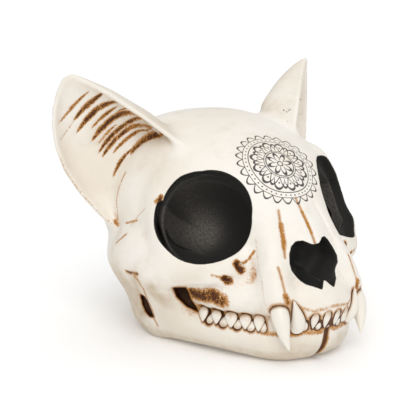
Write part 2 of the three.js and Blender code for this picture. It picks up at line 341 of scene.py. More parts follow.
@dataclass(frozen=True)
class SocketStep(Egg):
    """The socket's wider rim, pinched in from a notch on its outer side up to its top."""

    pinch: float = 1.8

    def __call__(self, x: Array, y: Array, z: Array) -> Array:
        """Signed distance of points, negative inside."""
        p = (x - self.centre[0], y - self.centre[1], z - self.centre[2])
        u, v = (t[0] * p[0] + t[1] * p[1] + t[2] * p[2] for t in self.axes[:2])
        turn = np.degrees(np.arctan2(v, u))
        share = fade(turn, 36, 4) * fade(turn, 78, -38)
        return super().__call__(x, y, z) + self.pinch * share


@dataclass(frozen=True)
class Engraving:
    """A line through points, cut into the skin."""

    points: tuple[Point, ...]
    width: float
    depth: float
    stain: float = 0.3

    def distance(self, x: Array, y: Array, z: Array) -> Array:
        """Distance of points to the line."""
        p = np.array(self.points, float)
        gaps = [segment_distance(x, y, z, a, b)[0] for a, b in zip(p[:-1], p[1:])]
        return np.minimum.reduce(gaps)


# ---- clay ---------------------------------------------------------------------------------


@dataclass
class Grid:
    """Distances on a box grid whose planes stand closer together at the face."""

    axes: tuple[Array, Array, Array]
    values: Array

    def sample(self, points: Array) -> Array:
        """Distances at points, interpolated."""
        place = [np.interp(points[:, i], a, np.arange(len(a))) for i, a in enumerate(self.axes)]
        base = [np.minimum(p.astype(int), len(a) - 2) for p, a in zip(place, self.axes)]
        part = [p - b for p, b in zip(place, base)]
        out = np.zeros(len(points))
        for i in (0, 1):
            for j in (0, 1):
                for k in (0, 1):
                    share = ((part[0] if i else 1 - part[0]) * (part[1] if j else 1 - part[1])
                             * (part[2] if k else 1 - part[2]))
                    out += share * self.values[base[0] + i, base[1] + j, base[2] + k]
        return out

    def slope(self, points: Array, reach: float = 0.35) -> Array:
        """Direction in which the distance grows fastest, as unit vectors."""
        g = np.stack([self.sample(points + d) - self.sample(points - d)
                      for d in np.eye(3) * reach], 1)
        return g / (np.linalg.norm(g, axis=1, keepdims=True) + 1e-9)

    def cropped(self, low: Sequence[float], high: Sequence[float]) -> Grid:
        """The part of the grid between two corners."""
        cut = tuple(slice(max(int(np.searchsorted(a, l)) - 2, 0), int(np.searchsorted(a, h)) + 2)
                    for a, l, h in zip(self.axes, low, high))
        return Grid(tuple(a[c] for a, c in zip(self.axes, cut)), self.values[cut])


@dataclass
class Clay:
    """The left half of the skull as clay: forms are added, cut away and engraved."""

    step: float = 0.6
    back_step: float = 0.95
    back_from: float = 6.0
    low: Point = (0.0, -77.0, -1.5)
    high: Point = (74.0, 75.0, 120.0)
    axes: tuple[Array, Array, Array] = field(init=False)
    values: Array = field(init=False)

    def __post_init__(self) -> None:
        """Lays out the grid, empty."""
        xs = np.arange(0.5, (self.high[0] - self.low[0]) / self.step) * self.step
        front = np.arange(self.low[1], self.back_from, self.step)
        back = np.arange(front[-1] + self.back_step, self.high[1], self.back_step)
        zs = np.arange(self.low[2], self.high[2], self.step)
        self.axes = (xs, np.concatenate([front, back]), zs)
        self.values = np.full([len(a) for a in self.axes], FAR, np.float32)

    def _block(self, low: Array, high: Array) -> tuple[tuple[slice, ...], list[Array]]:
        """The cells between two corners, and their coordinates shaped for broadcasting."""
        cut = tuple(slice(int(np.searchsorted(a, l)), max(int(np.searchsorted(a, h)), 1))
                    for a, l, h in zip(self.axes, low, high))
        shape = np.ix_(*(a[c] for a, c in zip(self.axes, cut)))
        return cut, [s.astype(np.float32) for s in shape]

    def add(self, form: Form, fillet: float = 0.0) -> None:
        """Joins a form to the clay with a fillet."""
        low, high = form.reach()
        cut, p = self._block(low - fillet - 5, high + fillet + 5)
        self.values[cut] = soft_min(self.values[cut], form(*p), fillet)

    def cut(self, form: Form, fillet: float = 0.0) -> None:
        """Takes a form out of the clay, with its edge rounded."""
        low, high = form.reach()
        cut, p = self._block(low - fillet - 5, high + fillet + 5)
        self.values[cut] = soft_max(self.values[cut], -form(*p), fillet)

    def sink(self, form: Form, depth: float, fillet: float) -> None:
        """Lowers the skin inside a form by a depth."""
        low, high = form.reach()
        cut, p = self._block(low - 5, high + 5)
        held = self.values[cut]
        self.values[cut] = soft_max(held, -np.maximum(form(*p), -held - depth), fillet)

    def seated(self, points: Sequence[Sequence[float]], every: int = 4) -> tuple[Point, ...]:
        """Moves a line's points onto the clay's skin, with more points between them.

        Args:
            points: the line, each with x, y, z and any further numbers.
            every: how many parts each stretch is divided into.
        Returns:
            The points on the skin.
        """
        given = np.array(points, float)
        share = np.linspace(0, len(given) - 1, max(every * (len(given) - 1) + 1, 1))
        line = np.stack([np.interp(share, np.arange(len(given)), given[:, i])
                         for i in range(given.shape[1])], 1)
        grid = Grid(self.axes, self.values)
        for _ in range(5):
            gap = np.clip(grid.sample(line[:, :3]), -2, 2)
            line[:, :3] -= grid.slope(line[:, :3]) * gap[:, None]
        return tuple(map(tuple, line))

    def engrave(self, line: Engraving) -> None:
        """Presses a line into the clay, or raises it where its depth is negative."""
        p = np.array(line.points, float)
        cut, q = self._block(p.min(0) - 4 * line.width, p.max(0) + 4 * line.width)
        self.values[cut] += line.depth * np.exp(-(line.distance(*q) / line.width) ** 2)

    def press(self, low: Array, high: Array,
              amount: Callable[[Array, Array, Array], Array]) -> None:
        """Moves the skin inwards by an amount given for each point of a box."""
        cut, p = self._block(low, high)
        self.values[cut] += amount(*p).astype(np.float32)

    def whole(self) -> Grid:
        """Both sides of the skull on one grid."""
        x = self.axes[0]
        return Grid((np.concatenate([-x[::-1], x]), *self.axes[1:]),
                    np.concatenate([self.values[::-1], self.values]))


@dataclass
class Skin:
    """The skin of a grid as quads, with the direction that each corner faces."""

    points: Array
    quads: Array
    normals: Array = field(default_factory=lambda: np.zeros((0, 3)))
    caps: list[tuple[int, ...]] = field(default_factory=list)

    @classmethod
    def of(cls, grid: Grid) -> Skin:
        """Finds the zero surface of a grid, one point in each cell that it crosses."""
        f = grid.values
        inside = f < 0
        ends = (slice(0, -1), slice(1, None))
        count = np.zeros([n - 1 for n in f.shape], np.uint8)
        for i in ends:
            for j in ends:
                for k in ends:
                    count += inside[i, j, k]
        active = (count > 0) & (count < 8)
        cells = np.argwhere(active)
        names = np.full(count.shape, -1, np.int32)
        names[active] = np.arange(len(cells))
        corners = np.array([[i, j, k] for i in (0, 1) for j in (0, 1) for k in (0, 1)])
        held = np.stack([f[tuple((cells + c).T)] for c in corners], 1)
        total, hits = np.zeros((len(cells), 3)), np.zeros(len(cells))
        for a in range(8):
            for b in range(a + 1, 8):
                way = corners[b] - corners[a]
                if np.abs(way).sum() != 1:
                    continue
                va, vb = held[:, a], held[:, b]
                cross = (va < 0) != (vb < 0)
                share = np.where(cross, va / np.where(cross, va - vb, 1), 0)
                total += np.where(cross[:, None], corners[a] + share[:, None] * way, 0)
                hits += cross
        place = cells + total / hits[:, None]
        points = np.stack([np.interp(place[:, i], np.arange(len(a)), a)
                           for i, a in enumerate(grid.axes)], 1)
        quads = []
        for axis in range(3):
            o1, o2 = (axis + 1) % 3, (axis + 2) % 3
            first, second = [slice(None)] * 3, [slice(None)] * 3
            first[axis], second[axis] = slice(0, -1), slice(1, None)
            here, there = inside[tuple(first)], inside[tuple(second)]
            edge = here != there
            inner = [slice(None)] * 3
            inner[o1] = inner[o2] = slice(1, -1)
            kept = np.zeros_like(edge)
            kept[tuple(inner)] = True
            edge &= kept
            at = np.argwhere(edge)
            ring = []
            for d1, d2 in ((1, 1), (0, 1), (0, 0), (1, 0)):
                q = at.copy()
                q[:, o1] -= d1
                q[:, o2] -= d2
                ring.append(names[tuple(q.T)])
            quad = np.stack(ring, 1)
            turn = ~here[edge]
            quad[turn] = quad[turn][:, ::-1]
            quads.append(quad)
        return cls(points, np.concatenate(quads))

    def relax(self, grid: Grid, rounds: int = 3) -> None:
        """Evens out the points along the skin without taking them off it."""
        n, q = len(self.points), self.quads
        a = np.concatenate([q[:, 0], q[:, 1], q[:, 2], q[:, 3]])
        b = np.concatenate([q[:, 1], q[:, 2], q[:, 3], q[:, 0]])
        number = np.bincount(a, minlength=n) + np.bincount(b, minlength=n)
        for _ in range(rounds):
            total = np.stack([np.bincount(a, self.points[b, k], n)
                              + np.bincount(b, self.points[a, k], n) for k in range(3)], 1)
            move = total / np.maximum(number, 1)[:, None] - self.points
            way = grid.slope(self.points)
            move -= (move * way).sum(1, keepdims=True) * way
            self.points = self.points + 0.5 * move
            off = np.clip(grid.sample(self.points), -0.6, 0.6)
            self.points = self.points - 0.8 * way * off[:, None]

    def mirrored(self) -> Skin:
        """The same skin on the other side of the head."""
        flip = np.array([-1, 1, 1])
        return Skin(self.points * flip, self.quads[:, ::-1].copy(), self.normals * flip,
                    [face[::-1] for face in self.caps])


# ---- finishes -----------------------------------------------------------------------------


class Sheet:
    """Writes a material's nodes: each call adds one and returns its output."""

    def __init__(self, name: str) -> None:
        """Starts an empty material with its shader and output."""
        self.material = bpy.data.materials.new(name)
        self.material.use_nodes = True
        self.tree = self.material.node_tree
        self.tree.nodes.clear()
        self.shader = self.tree.nodes.new("ShaderNodeBsdfPrincipled")
        out = self.tree.nodes.new("ShaderNodeOutputMaterial")
        self.tree.links.new(self.shader.outputs["BSDF"], out.inputs["Surface"])

    def put(self, socket: bpy.types.NodeSocket, value: object) -> None:
        """Links an output to a socket, or sets the socket's own value."""
        if isinstance(value, bpy.types.NodeSocket):
            self.tree.links.new(value, socket)
        elif value is not None:
            socket.default_value = value

    def node(self, kind: str, out: int | str = 0, **inputs: object) -> bpy.types.NodeSocket:
        """Adds a node; keys are its sockets' names, or its settings where no socket has the name.

        Args:
            kind: the node's type.
            out: which output is returned.
            inputs: values or outputs for its sockets and settings.
        Returns:
            The node's output.
        """
        made = self.tree.nodes.new(kind)
        for key, value in inputs.items():
            if key.startswith("set_"):
                setattr(made, key[4:], value)
        for key, value in inputs.items():
            if key.startswith("in_"):
                self.put(made.inputs[int(key[3:])], value)
            elif not key.startswith("set_"):
                self.put(made.inputs[key], value)
        return made.outputs[out]

    def math(self, way: str, a: object, b: object = None, c: object = None,
             clamp: bool = False) -> bpy.types.NodeSocket:
        """A sum, product or other function of up to three numbers."""
        return self.node("ShaderNodeMath", set_operation=way, set_use_clamp=clamp,
                         in_0=a, in_1=b, in_2=c)

    def plus(self, a: object, b: object, clamp: bool = False) -> bpy.types.NodeSocket:
        """A sum."""
        return self.math("ADD", a, b, clamp=clamp)

    def less(self, a: object, b: object) -> bpy.types.NodeSocket:
        """A difference."""
        return self.math("SUBTRACT", a, b)

    def times(self, a: object, b: object, clamp: bool = False) -> bpy.types.NodeSocket:
        """A product."""
        return self.math("MULTIPLY", a, b, clamp=clamp)

    def ramp(self, value: object, low: float, high: float, start: float = 0.0,
             end: float = 1.0) -> bpy.types.NodeSocket:
        """A smooth step from start to end as the value goes from low to high."""
        flip = low > high
        if flip:
            low, high, start, end = high, low, end, start
        return self.node("ShaderNodeMapRange", set_interpolation_type="SMOOTHSTEP", Value=value,
                         **{"From Min": low, "From Max": high, "To Min": start, "To Max": end})

    def mix(self, share: object, a: object, b: object) -> bpy.types.NodeSocket:
        """A colour between two colours."""
        made = self.tree.nodes.new("ShaderNodeMix")
        made.data_type = "RGBA"
        for socket, value in zip((made.inputs[0], made.inputs[6], made.inputs[7]), (share, a, b)):
            self.put(socket, (*value, 1.0) if isinstance(value, tuple) else value)
        return made.outputs[2]

    def noise(self, place: object, scale: float, detail: float = 2.0,
              rough: float = 0.5) -> bpy.types.NodeSocket:
        """Noise between 0 and 1, with the given number of waves to a metre."""
        return self.node("ShaderNodeTexNoise", Vector=place, Scale=scale, Detail=detail,
                         Roughness=rough)

    def attribute(self, name: str) -> bpy.types.NodeSocket:
        """A number that the mesh carries at each point."""
        return self.node("ShaderNodeAttribute", out="Fac", set_attribute_name=name)

    def bump(self, height: object, distance: float, strength: float,
             normal: object = None) -> bpy.types.NodeSocket:
        """A bumped normal."""
        return self.node("ShaderNodeBump", Height=height, Distance=distance, Strength=strength,
                         Normal=normal)


@dataclass(frozen=True)
class CastBone:
    """Cream resin with a thin tan rub and painted shade, an amber and brown wash in its hollows, and
    matt black openings with a painted highlight in the eye sockets.
    """

    cream: Point = (0.83, 0.765, 0.665)
    pale: Point = (0.9, 0.86, 0.79)
    amber: Point = (0.5, 0.225, 0.045)
    brown: Point = (0.08, 0.024, 0.006)
    umber: Point = (0.1, 0.034, 0.009)
    black: Point = (0.027, 0.026, 0.023)
    dust: Point = (0.23, 0.2, 0.175)
    tan: Point = (0.56, 0.45, 0.31)
    black_rough: float = 0.62

    def make(self, rosette: Rosette) -> bpy.types.Material:
        """Builds the material.

        Args:
            rosette: the line drawing on the forehead.
        Returns:
            The finished material.
        """
        s = Sheet("cast_bone")
        place = s.node("ShaderNodeTexCoord", out="Object")
        broad = s.noise(place, 28, 3)
        fine = s.noise(place, 240, 4, 0.6)
        speck = s.noise(place, 900, 2, 0.6)

        def ragged(value: object, amount: float) -> bpy.types.NodeSocket:
            """A value made uneven by the fine noise."""
            return s.plus(value, s.times(s.less(fine, 0.5), amount))

        colour = s.mix(s.ramp(broad, 0.3, 0.62), self.cream, self.pale)
        # thin tan rub: all over in faint patches, stronger low down and on the undersides; the tan on
        # the undersides, along the floor edge, under the ears' rims, on the ears' backs and on the
        # chin is painted shade
        patchy = s.times(s.ramp(s.noise(place, 85, 4, 0.62), 0.5, 0.8), 0.26)
        rub_and_shade = s.times(s.attribute("tone"), s.plus(0.25, fine))
        colour = s.mix(s.plus(patchy, rub_and_shade, clamp=True), colour, self.tan)
        # wash: thin amber first, then dark brown where it lies thick
        mottle = s.ramp(s.noise(place, 1300, 5, 0.7), 0.34, 0.66)
        patch = ragged(s.plus(0.42, s.times(mottle, 0.54)), 0.9)
        thick = s.times(s.attribute("wash"), patch)
        colour = s.mix(s.ramp(thick, 0.1, 0.45), colour, self.amber)
        colour = s.mix(s.ramp(thick, 0.42, 0.82), colour, self.brown)
        # pen-thin dark lines round the teeth and along the seams, with a warm halo; inside the two
        # slots behind the cheek the same dark is brown wash and painted shade
        ink = ragged(s.attribute("ink"), 0.9)
        colour = s.mix(s.times(s.ramp(ink, 0.95, 0.1), 0.8), colour, self.amber)
        colour = s.mix(s.ramp(ink, 0.15, -0.25), colour, self.umber)
        colour = s.mix(rosette.draw(s, place), colour, rosette.colour)
        # black paint in each opening; the grey dry-brush in the lower middle of each eye socket is a
        # painted highlight
        painted = s.ramp(ragged(s.attribute("void"), 0.35), 0.12, -0.12)
        deep = s.times(s.ramp(s.attribute("void"), -1.5, -6.5), s.plus(0.15, s.times(mottle, 0.6)))
        colour = s.mix(painted, colour, s.mix(s.times(deep, 0.85), self.black, self.dust))
        s.put(s.shader.inputs["Base Color"], colour)
        rough = s.plus(0.4, s.times(fine, 0.16))
        rough = s.plus(rough, s.times(s.ramp(thick, 0.3, 0.9), 0.1))
        s.put(s.shader.inputs["Roughness"],
              s.plus(s.times(rough, s.less(1.0, painted)), s.times(painted, self.black_rough)))
        s.put(s.shader.inputs["Specular IOR Level"], 0.25)
        normal = s.bump(s.plus(broad, s.times(fine, 0.22)), 0.0012, 0.5)
        normal = s.bump(speck, 0.0001, 0.35, normal)
        s.put(s.shader.inputs["Normal"], normal)
        return s.material


@dataclass(frozen=True)
class Rosette:
    """A small line rosette drawn on the forehead: a flower, rings, pointed petals and dots."""

    centre: Point = (0.0, -33.5, 80.5)
    facing: Point = (0.0, -0.62, 0.785)
    line: float = 0.5
    colour: Point = (0.03, 0.027, 0.026)

    def draw(self, s: Sheet, place: bpy.types.NodeSocket) -> bpy.types.NodeSocket:
        """Adds the drawing's nodes.

        Args:
            s: the material that it is drawn in.
            place: object coordinates.
        Returns:
            1 on the drawn lines and 0 beside them.
        """
        up = Vector(self.facing).normalized()
        side = Vector((1, 0, 0))
        rise = up.cross(side).normalized()
        local = s.node("ShaderNodeVectorMath", set_operation="SUBTRACT", in_0=place,
                       in_1=tuple(c * MM for c in self.centre))

        def along(way: Vector) -> bpy.types.NodeSocket:
            """Distance from the centre along a direction, in mm."""
            return s.times(s.node("ShaderNodeVectorMath", out="Value", in_0=local,
                                  set_operation="DOT_PRODUCT", in_1=tuple(way)), 1 / MM)

        def hypot(a: bpy.types.NodeSocket, b: bpy.types.NodeSocket) -> bpy.types.NodeSocket:
            """The length of two lengths that stand square to each other."""
            return s.math("SQRT", s.plus(s.times(a, a), s.times(b, b)))

        u, v, w = along(side), along(rise), along(up)
        r = hypot(u, v)
        turn = s.math("ARCTAN2", v, u)

        def stroke(distance: object, width: float = 1.0) -> bpy.types.NodeSocket:
            """A line where a distance is near 0."""
            half = 0.5 * self.line * width
            return s.ramp(s.math("ABSOLUTE", distance), half + 0.07, half - 0.07)

        def ring(radius: float, width: float = 1.0) -> bpy.types.NodeSocket:
            """A circle's line."""
            return stroke(s.less(r, radius), width)

        def petals(count: int, inner: float, outer: float, phase: float,
                   power: float) -> bpy.types.NodeSocket:
            """The outline of a ring of petals between two radii."""
            wave = s.math("ABSOLUTE", s.math("COSINE", s.plus(s.times(turn, count / 2), phase)))
            edge = s.plus(inner, s.times(s.math("POWER", wave, power), outer - inner))
            steep = 1 + 0.5 * (outer - inner) * count / (inner + outer)
            return stroke(s.math("DIVIDE", s.less(r, edge), steep), 0.9)

        def dots(count: int, radius: float, size: float) -> bpy.types.NodeSocket:
            """A ring of dots."""
            part = s.math("FRACT", s.plus(s.times(turn, count / (2 * math.pi)), 0.5))
            beside = s.times(s.less(part, 0.5), 2 * math.pi * radius / count)
            return s.ramp(hypot(beside, s.less(r, radius)), size + 0.08, size - 0.08)

        marks = [petals(8, 1.4, 5.6, 0.0, 0.8), ring(1.2), ring(6.6), ring(7.5, 0.7),
                 petals(12, 7.6, 13.2, 0.0, 0.55), petals(12, 7.6, 12.2, math.pi / 2, 1.3),
                 dots(12, 10.4, 0.42), ring(14.4, 0.8), dots(44, 15.6, 0.34), ring(16.8, 0.6),
                 petals(24, 16.9, 19.4, 0.0, 1.0)]
        total = marks[0]
        for mark in marks[1:]:
            total = s.math("MAXIMUM", total, mark)
        near = s.times(s.ramp(w, -14.0, -13.0), s.ramp(w, 8.0, 7.0))
        return s.times(s.times(total, near, clamp=True), 0.94)


@dataclass(frozen=True)
class Enamel:
    """Smooth ivory paint on the teeth, darker towards the gum."""

    ivory: Point = (0.87, 0.82, 0.73)
    warm: Point = (0.45, 0.24, 0.08)
    brown: Point = (0.1, 0.034, 0.009)

    def make(self) -> bpy.types.Material:
        """Builds the material."""
        s = Sheet("tooth_enamel")
        place = s.node("ShaderNodeTexCoord", out="Object")
        fine = s.noise(place, 500, 3)
        root = s.attribute("root")
        halo = s.times(s.ramp(s.plus(root, s.times(fine, 0.5)), 0.75, 1.35), 0.85)
        ink = s.attribute("ink")
        colour = s.mix(halo, self.ivory, self.warm)
        colour = s.mix(s.times(s.ramp(ink, 0.9, 0.1), 0.7), colour, self.warm)
        colour = s.mix(s.ramp(ink, 0.2, -0.1), colour, self.brown)
        s.put(s.shader.inputs["Base Color"], colour)
        s.put(s.shader.inputs["Roughness"], s.plus(0.3, s.times(fine, 0.15)))
        s.put(s.shader.inputs["Normal"], s.bump(s.noise(place, 160, 3), 0.0004, 0.4))
        return s.material


# ---- pieces -------------------------------------------------------------------------------


def into_scene(name: str, data: bpy.types.ID) -> bpy.types.Object:
    """Makes an object of a mesh, light or camera and adds it to the scene."""
    made = bpy.data.objects.new(name, data)
    bpy.context.scene.collection.objects.link(made)
    return made


def carry(mesh: bpy.types.Mesh, name: str, values: Sequence) -> None:
    """Gives each point of a mesh a number, or a vector where the values are rows."""
    held = np.asarray(values, np.float32)
    kind, key = ("FLOAT", "value") if held.ndim == 1 else ("FLOAT_VECTOR", "vector")
    mesh.attributes.new(name, kind, "POINT").data.foreach_set(key, held.ravel())


def write_mesh(name: str, skin: Skin, material: bpy.types.Material,
               marks: dict[str, Array] | None = None) -> bpy.types.Object:
    """Turns a skin in millimetres into an object in metres.

    Args:
        name: the piece's name.
        skin: its points, quads and normals.
        material: its finish.
        marks: numbers that its points carry, by name.
    Returns:
        The object, at the origin.
    """
    mesh = bpy.data.meshes.new(name)
    mesh.from_pydata((skin.points * MM).tolist(), [], skin.quads.tolist() + skin.caps)
    for key, values in (marks or {}).items():
        carry(mesh, key, values)
    mesh.materials.append(material)
    mesh.shade_smooth()
    if len(skin.normals):
        mesh.normals_split_custom_set_from_vertices(skin.normals.tolist())
    return into_scene(name, mesh)


class Side(Enum):
    """The two sides of the head."""

    LEFT = 1
    RIGHT = -1

    @property
    def word(self) -> str:
        """The side's name in a piece's name."""
        return self.name.lower()


@dataclass(frozen=True)
class Crown:
    """One small tooth, from the middle of its rounded root to its tip."""

    root: Point
    tip: Point
    width: float
    depth: float
    upper: bool

    def outline(self) -> Tube:
        """The tooth as a tapering tube, for the dark line drawn round it."""
        a, b = np.array(self.root), np.array(self.tip)
        wide = a + WIDEST * (b - a)
        return Tube(((*map(float, wide), self.width / 2), (*map(float, b), 0.3)))

    def mirrored(self) -> Crown:
        """The same tooth on the other side."""
        return replace(self, root=(-self.root[0], *self.root[1:]),
                       tip=(-self.tip[0], *self.tip[1:]))


@dataclass
class Teeth:
    """The small teeth of both jaws: where each one stands, and the meshes made from them."""

    cheek: tuple[tuple[float, float, float], ...] = (
        (34.6, -26.0, 6.0), (32.4, -32.6, 6.0), (29.6, -39.2, 5.8), (26.6, -45.0, 5.3),
        (23.6, -50.2, 4.6))
    cheek_root: float = 20.9
    cheek_tip: float = 14.5
    between_root: float = 13.7
    between_tip: float = 18.4
    front: tuple[float, ...] = (2.6, 7.9)
    front_between: tuple[float, ...] = (0.0, 5.2, 10.6)
    rings: int = 16
    sides: int = 20
    crowns: list[Crown] = field(default_factory=list)

    @staticmethod
    def seat(grid: Grid, x: float, y: float, z: float, way: Array, proud: float) -> Point:
        """The point of the skin met on the way in towards a point, moved out by proud."""
        steps = np.arange(14, -14, -0.1)
        line = np.array([x, y, z]) + steps[:, None] * way
        inside = np.flatnonzero(grid.sample(line) < 0)
        found = line[inside[0]] if len(inside) else np.array([x, y, z])
        return tuple(map(float, found + proud * way))

    def place(self, grid: Grid) -> None:
        """Stands every tooth on the clay, both jaws and both sides."""
        cheek = np.array(self.cheek)
        for i, (x, y, width) in enumerate(cheek):
            run = cheek[min(i + 1, len(cheek) - 1)] - cheek[max(i - 1, 0)]
            way = np.array([-run[1], run[0], 0]) / math.hypot(run[0], run[1])
            root = self.seat(grid, x, y, self.cheek_root, way, -0.3)
            tip = self.seat(grid, x - 0.2, y - 0.6, self.cheek_tip, way, 0.3)
            self.crowns.append(Crown(root, tip, width, 3.2, True))
            ahead = cheek[i + 1] if i + 1 < len(cheek) else cheek[i] + 0.8 * (cheek[i] - cheek[i - 1])
            bx, by = (x + ahead[0]) / 2, (y + ahead[1]) / 2
            root = self.seat(grid, bx, by, self.between_root, way, -0.5)
            tip = self.seat(grid, bx, by, self.between_tip, way, -0.5)
            self.crowns.append(Crown(root, tip, width * 0.8, 2.6, False))
        ahead = np.array([0.0, -1, 0])
        for x in self.front:
            root = self.seat(grid, x, -60, 25.2 - 0.012 * x * x, ahead, -0.6)
            tip = self.seat(grid, x, -60, 16.4, ahead, 0.5)
            self.crowns.append(Crown(root, tip, 3.7, 3.0, True))
        for x in self.front_between:
            root = self.seat(grid, x, -60, 15.4, ahead, -0.8)
            tip = self.seat(grid, x, -60, 20.4, ahead, -0.6)
            self.crowns.append(Crown(root, tip, 2.8, 2.2, False))
        self.crowns += [c.mirrored() for c in self.crowns if abs(c.root[0]) > 0.5]

    def ink(self, x: Array, y: Array, z: Array, upper_only: bool = False) -> Array:
        """Distance to the nearest tooth's dark outline."""
        gap = np.full(len(x), FAR)
        for crown in self.crowns:
            if crown.upper or not upper_only:
                near = (np.abs(x - crown.root[0]) < 9) & (np.abs(y - crown.root[1]) < 9)
                wide = 0.75 if abs(crown.root[0]) < 12 and not upper_only else 0.35
                gap[near] = np.minimum(
                    gap[near], crown.outline()(x[near], y[near], z[near]) - wide)
        return gap

    def crown_mesh(self) -> bpy.types.Object:
        """One crown of unit width, depth and height: root at the top, tip at the bottom."""
        share = 0.5 - 0.5 * np.cos(np.linspace(0, math.pi, self.rings + 2)[1:-1])
        belly = np.sqrt(np.clip(1 - ((share - WIDEST) / WIDEST) ** 2, 0, 1))
        taper = (1 - np.clip((share - WIDEST) / 0.64, 0, 1) ** 1.5) ** 0.9
        half = 0.5 * np.where(share < WIDEST, belly, taper)
        turn = np.linspace(0, 2 * math.pi, self.sides, endpoint=False)
        points = [(0.0, 0.0, 0.5)]
        for t, r in zip(share, half):
            points += [(r * math.cos(a), r * math.sin(a), 0.5 - t) for a in turn]
        points.append((0.0, 0.0, -0.5))
        n, faces = self.sides, []
        for k in range(n):
            j = (k + 1) % n
            faces.append((0, 1 + k, 1 + j))
            for ring in range(self.rings - 1):
                a = 1 + ring * n
                faces.append((a + k, a + n + k, a + n + j, a + j))
            a = 1 + (self.rings - 1) * n
            faces.append((a + k, len(points) - 1, a + j))
        mesh = bpy.data.meshes.new("crown")
        mesh.from_pydata(points, [], faces)
        carry(mesh, "root", [p[2] + 0.5 for p in points])
        mesh.shade_smooth()
        return bpy.data.objects.new("crown", mesh)

    @staticmethod
    def tree() -> bpy.types.NodeTree:
        """Geometry nodes that stand a crown on every seat, turned and sized by the seat."""
        tree = bpy.data.node_groups.new("crowns_on_seats", "GeometryNodeTree")
        for name, kind in (("Seats", "Geometry"), ("Crown", "Object"), ("Finish", "Material"),
                           ("Fullness", "Float")):
            tree.interface.new_socket(name, in_out="INPUT", socket_type="NodeSocket" + kind)
        tree.interface.new_socket("Teeth", in_out="OUTPUT", socket_type="NodeSocketGeometry")
        node, link = tree.nodes.new, tree.links.new
        given, out = node("NodeGroupInput"), node("NodeGroupOutput")
        shape = node("GeometryNodeObjectInfo")
        link(given.outputs["Crown"], shape.inputs["Object"])
        turn, size = node("GeometryNodeInputNamedAttribute"), node("GeometryNodeInputNamedAttribute")
        for read, name in ((turn, "turn"), (size, "size")):
            read.data_type = "FLOAT_VECTOR"
            read.inputs["Name"].default_value = name
        euler = node("FunctionNodeEulerToRotation")
        link(turn.outputs["Attribute"], euler.inputs[0])
        spread = node("FunctionNodeRandomValue")
        spread.data_type = "FLOAT"
        spread.inputs[2].default_value = 0.95
        spread.inputs[3].default_value = 1.05
        spread.inputs["Seed"].default_value = 7
        full = node("ShaderNodeMath")
        full.operation = "MULTIPLY"
        link(spread.outputs[1], full.inputs[0])
        link(given.outputs["Fullness"], full.inputs[1])
        grown = node("ShaderNodeVectorMath")
        grown.operation = "SCALE"
        link(size.outputs["Attribute"], grown.inputs[0])
        link(full.outputs[0], grown.inputs["Scale"])
        stand = node("GeometryNodeInstanceOnPoints")
        link(given.outputs["Seats"], stand.inputs["Points"])
        link(shape.outputs["Geometry"], stand.inputs["Instance"])
        link(euler.outputs[0], stand.inputs["Rotation"])
        link(grown.outputs[0], stand.inputs["Scale"])
        real, paint = node("GeometryNodeRealizeInstances"), node("GeometryNodeSetMaterial")
        link(stand.outputs[0], real.inputs[0])
        link(real.outputs[0], paint.inputs["Geometry"])
        link(given.outputs["Finish"], paint.inputs["Material"])
        link(paint.outputs[0], out.inputs[0])
        return tree

    def build(self, name: str, upper: bool, finish: bpy.types.Material) -> bpy.types.Object:
        """Makes one jaw's small teeth as a plain mesh.

        Args:
            name: the piece's name.
            upper: which jaw.
            finish: the teeth's material.
        Returns:
            The piece, at the origin.
        """
        chosen = [c for c in self.crowns if c.upper == upper]
        spots, turns, sizes = [], [], []
        for crown in chosen:
            root, tip = Vector(crown.root), Vector(crown.tip)
            up = (root - tip).normalized()
            out = Vector((root.x, root.y + 30, 0)).normalized()
            side = up.cross(out).normalized()
            face = side.cross(up)
            basis = Matrix((side, -face, up)).transposed()
            spots.append((root + tip) / 2 * MM)
            turns.append(tuple(basis.to_euler()))
            sizes.append(Vector((crown.width, crown.depth, (root - tip).length)) * MM)
        seats = bpy.data.meshes.new(name + "_seats")
        seats.from_pydata([tuple(p) for p in spots], [], [])
        for key, rows in (("turn", turns), ("size", sizes)):
            carry(seats, key, [tuple(r) for r in rows])
        holder = into_scene(name + "_seats", seats)
        crown_object = self.crown_mesh()
        tree = self.tree()
        modifier = holder.modifiers.new("crowns", "NODES")
        modifier.node_group = tree
        names = {item.name: item.identifier for item in tree.interface.items_tree}
        modifier[names["Crown"]] = crown_object
        modifier[names["Finish"]] = finish
        modifier[names["Fullness"]] = 1.0
        bpy.context.view_layer.update()
        depsgraph = bpy.context.evaluated_depsgraph_get()
        mesh = bpy.data.meshes.new_from_object(holder.evaluated_get(depsgraph))
        mesh.name = name
        holder.modifiers.remove(modifier)
        bpy.data.objects.remove(holder)
        bpy.data.objects.remove(crown_object)
        points = np.zeros(3 * len(mesh.vertices), np.float32)
        mesh.vertices.foreach_get("co", points)
        x, y, z = points.reshape(-1, 3).T / MM
        ink = self.ink(x, y, z, upper_only=True) + 0.15 if not upper else np.full(len(x), FAR)
        carry(mesh, "ink", ink)
        return into_scene(name, mesh)


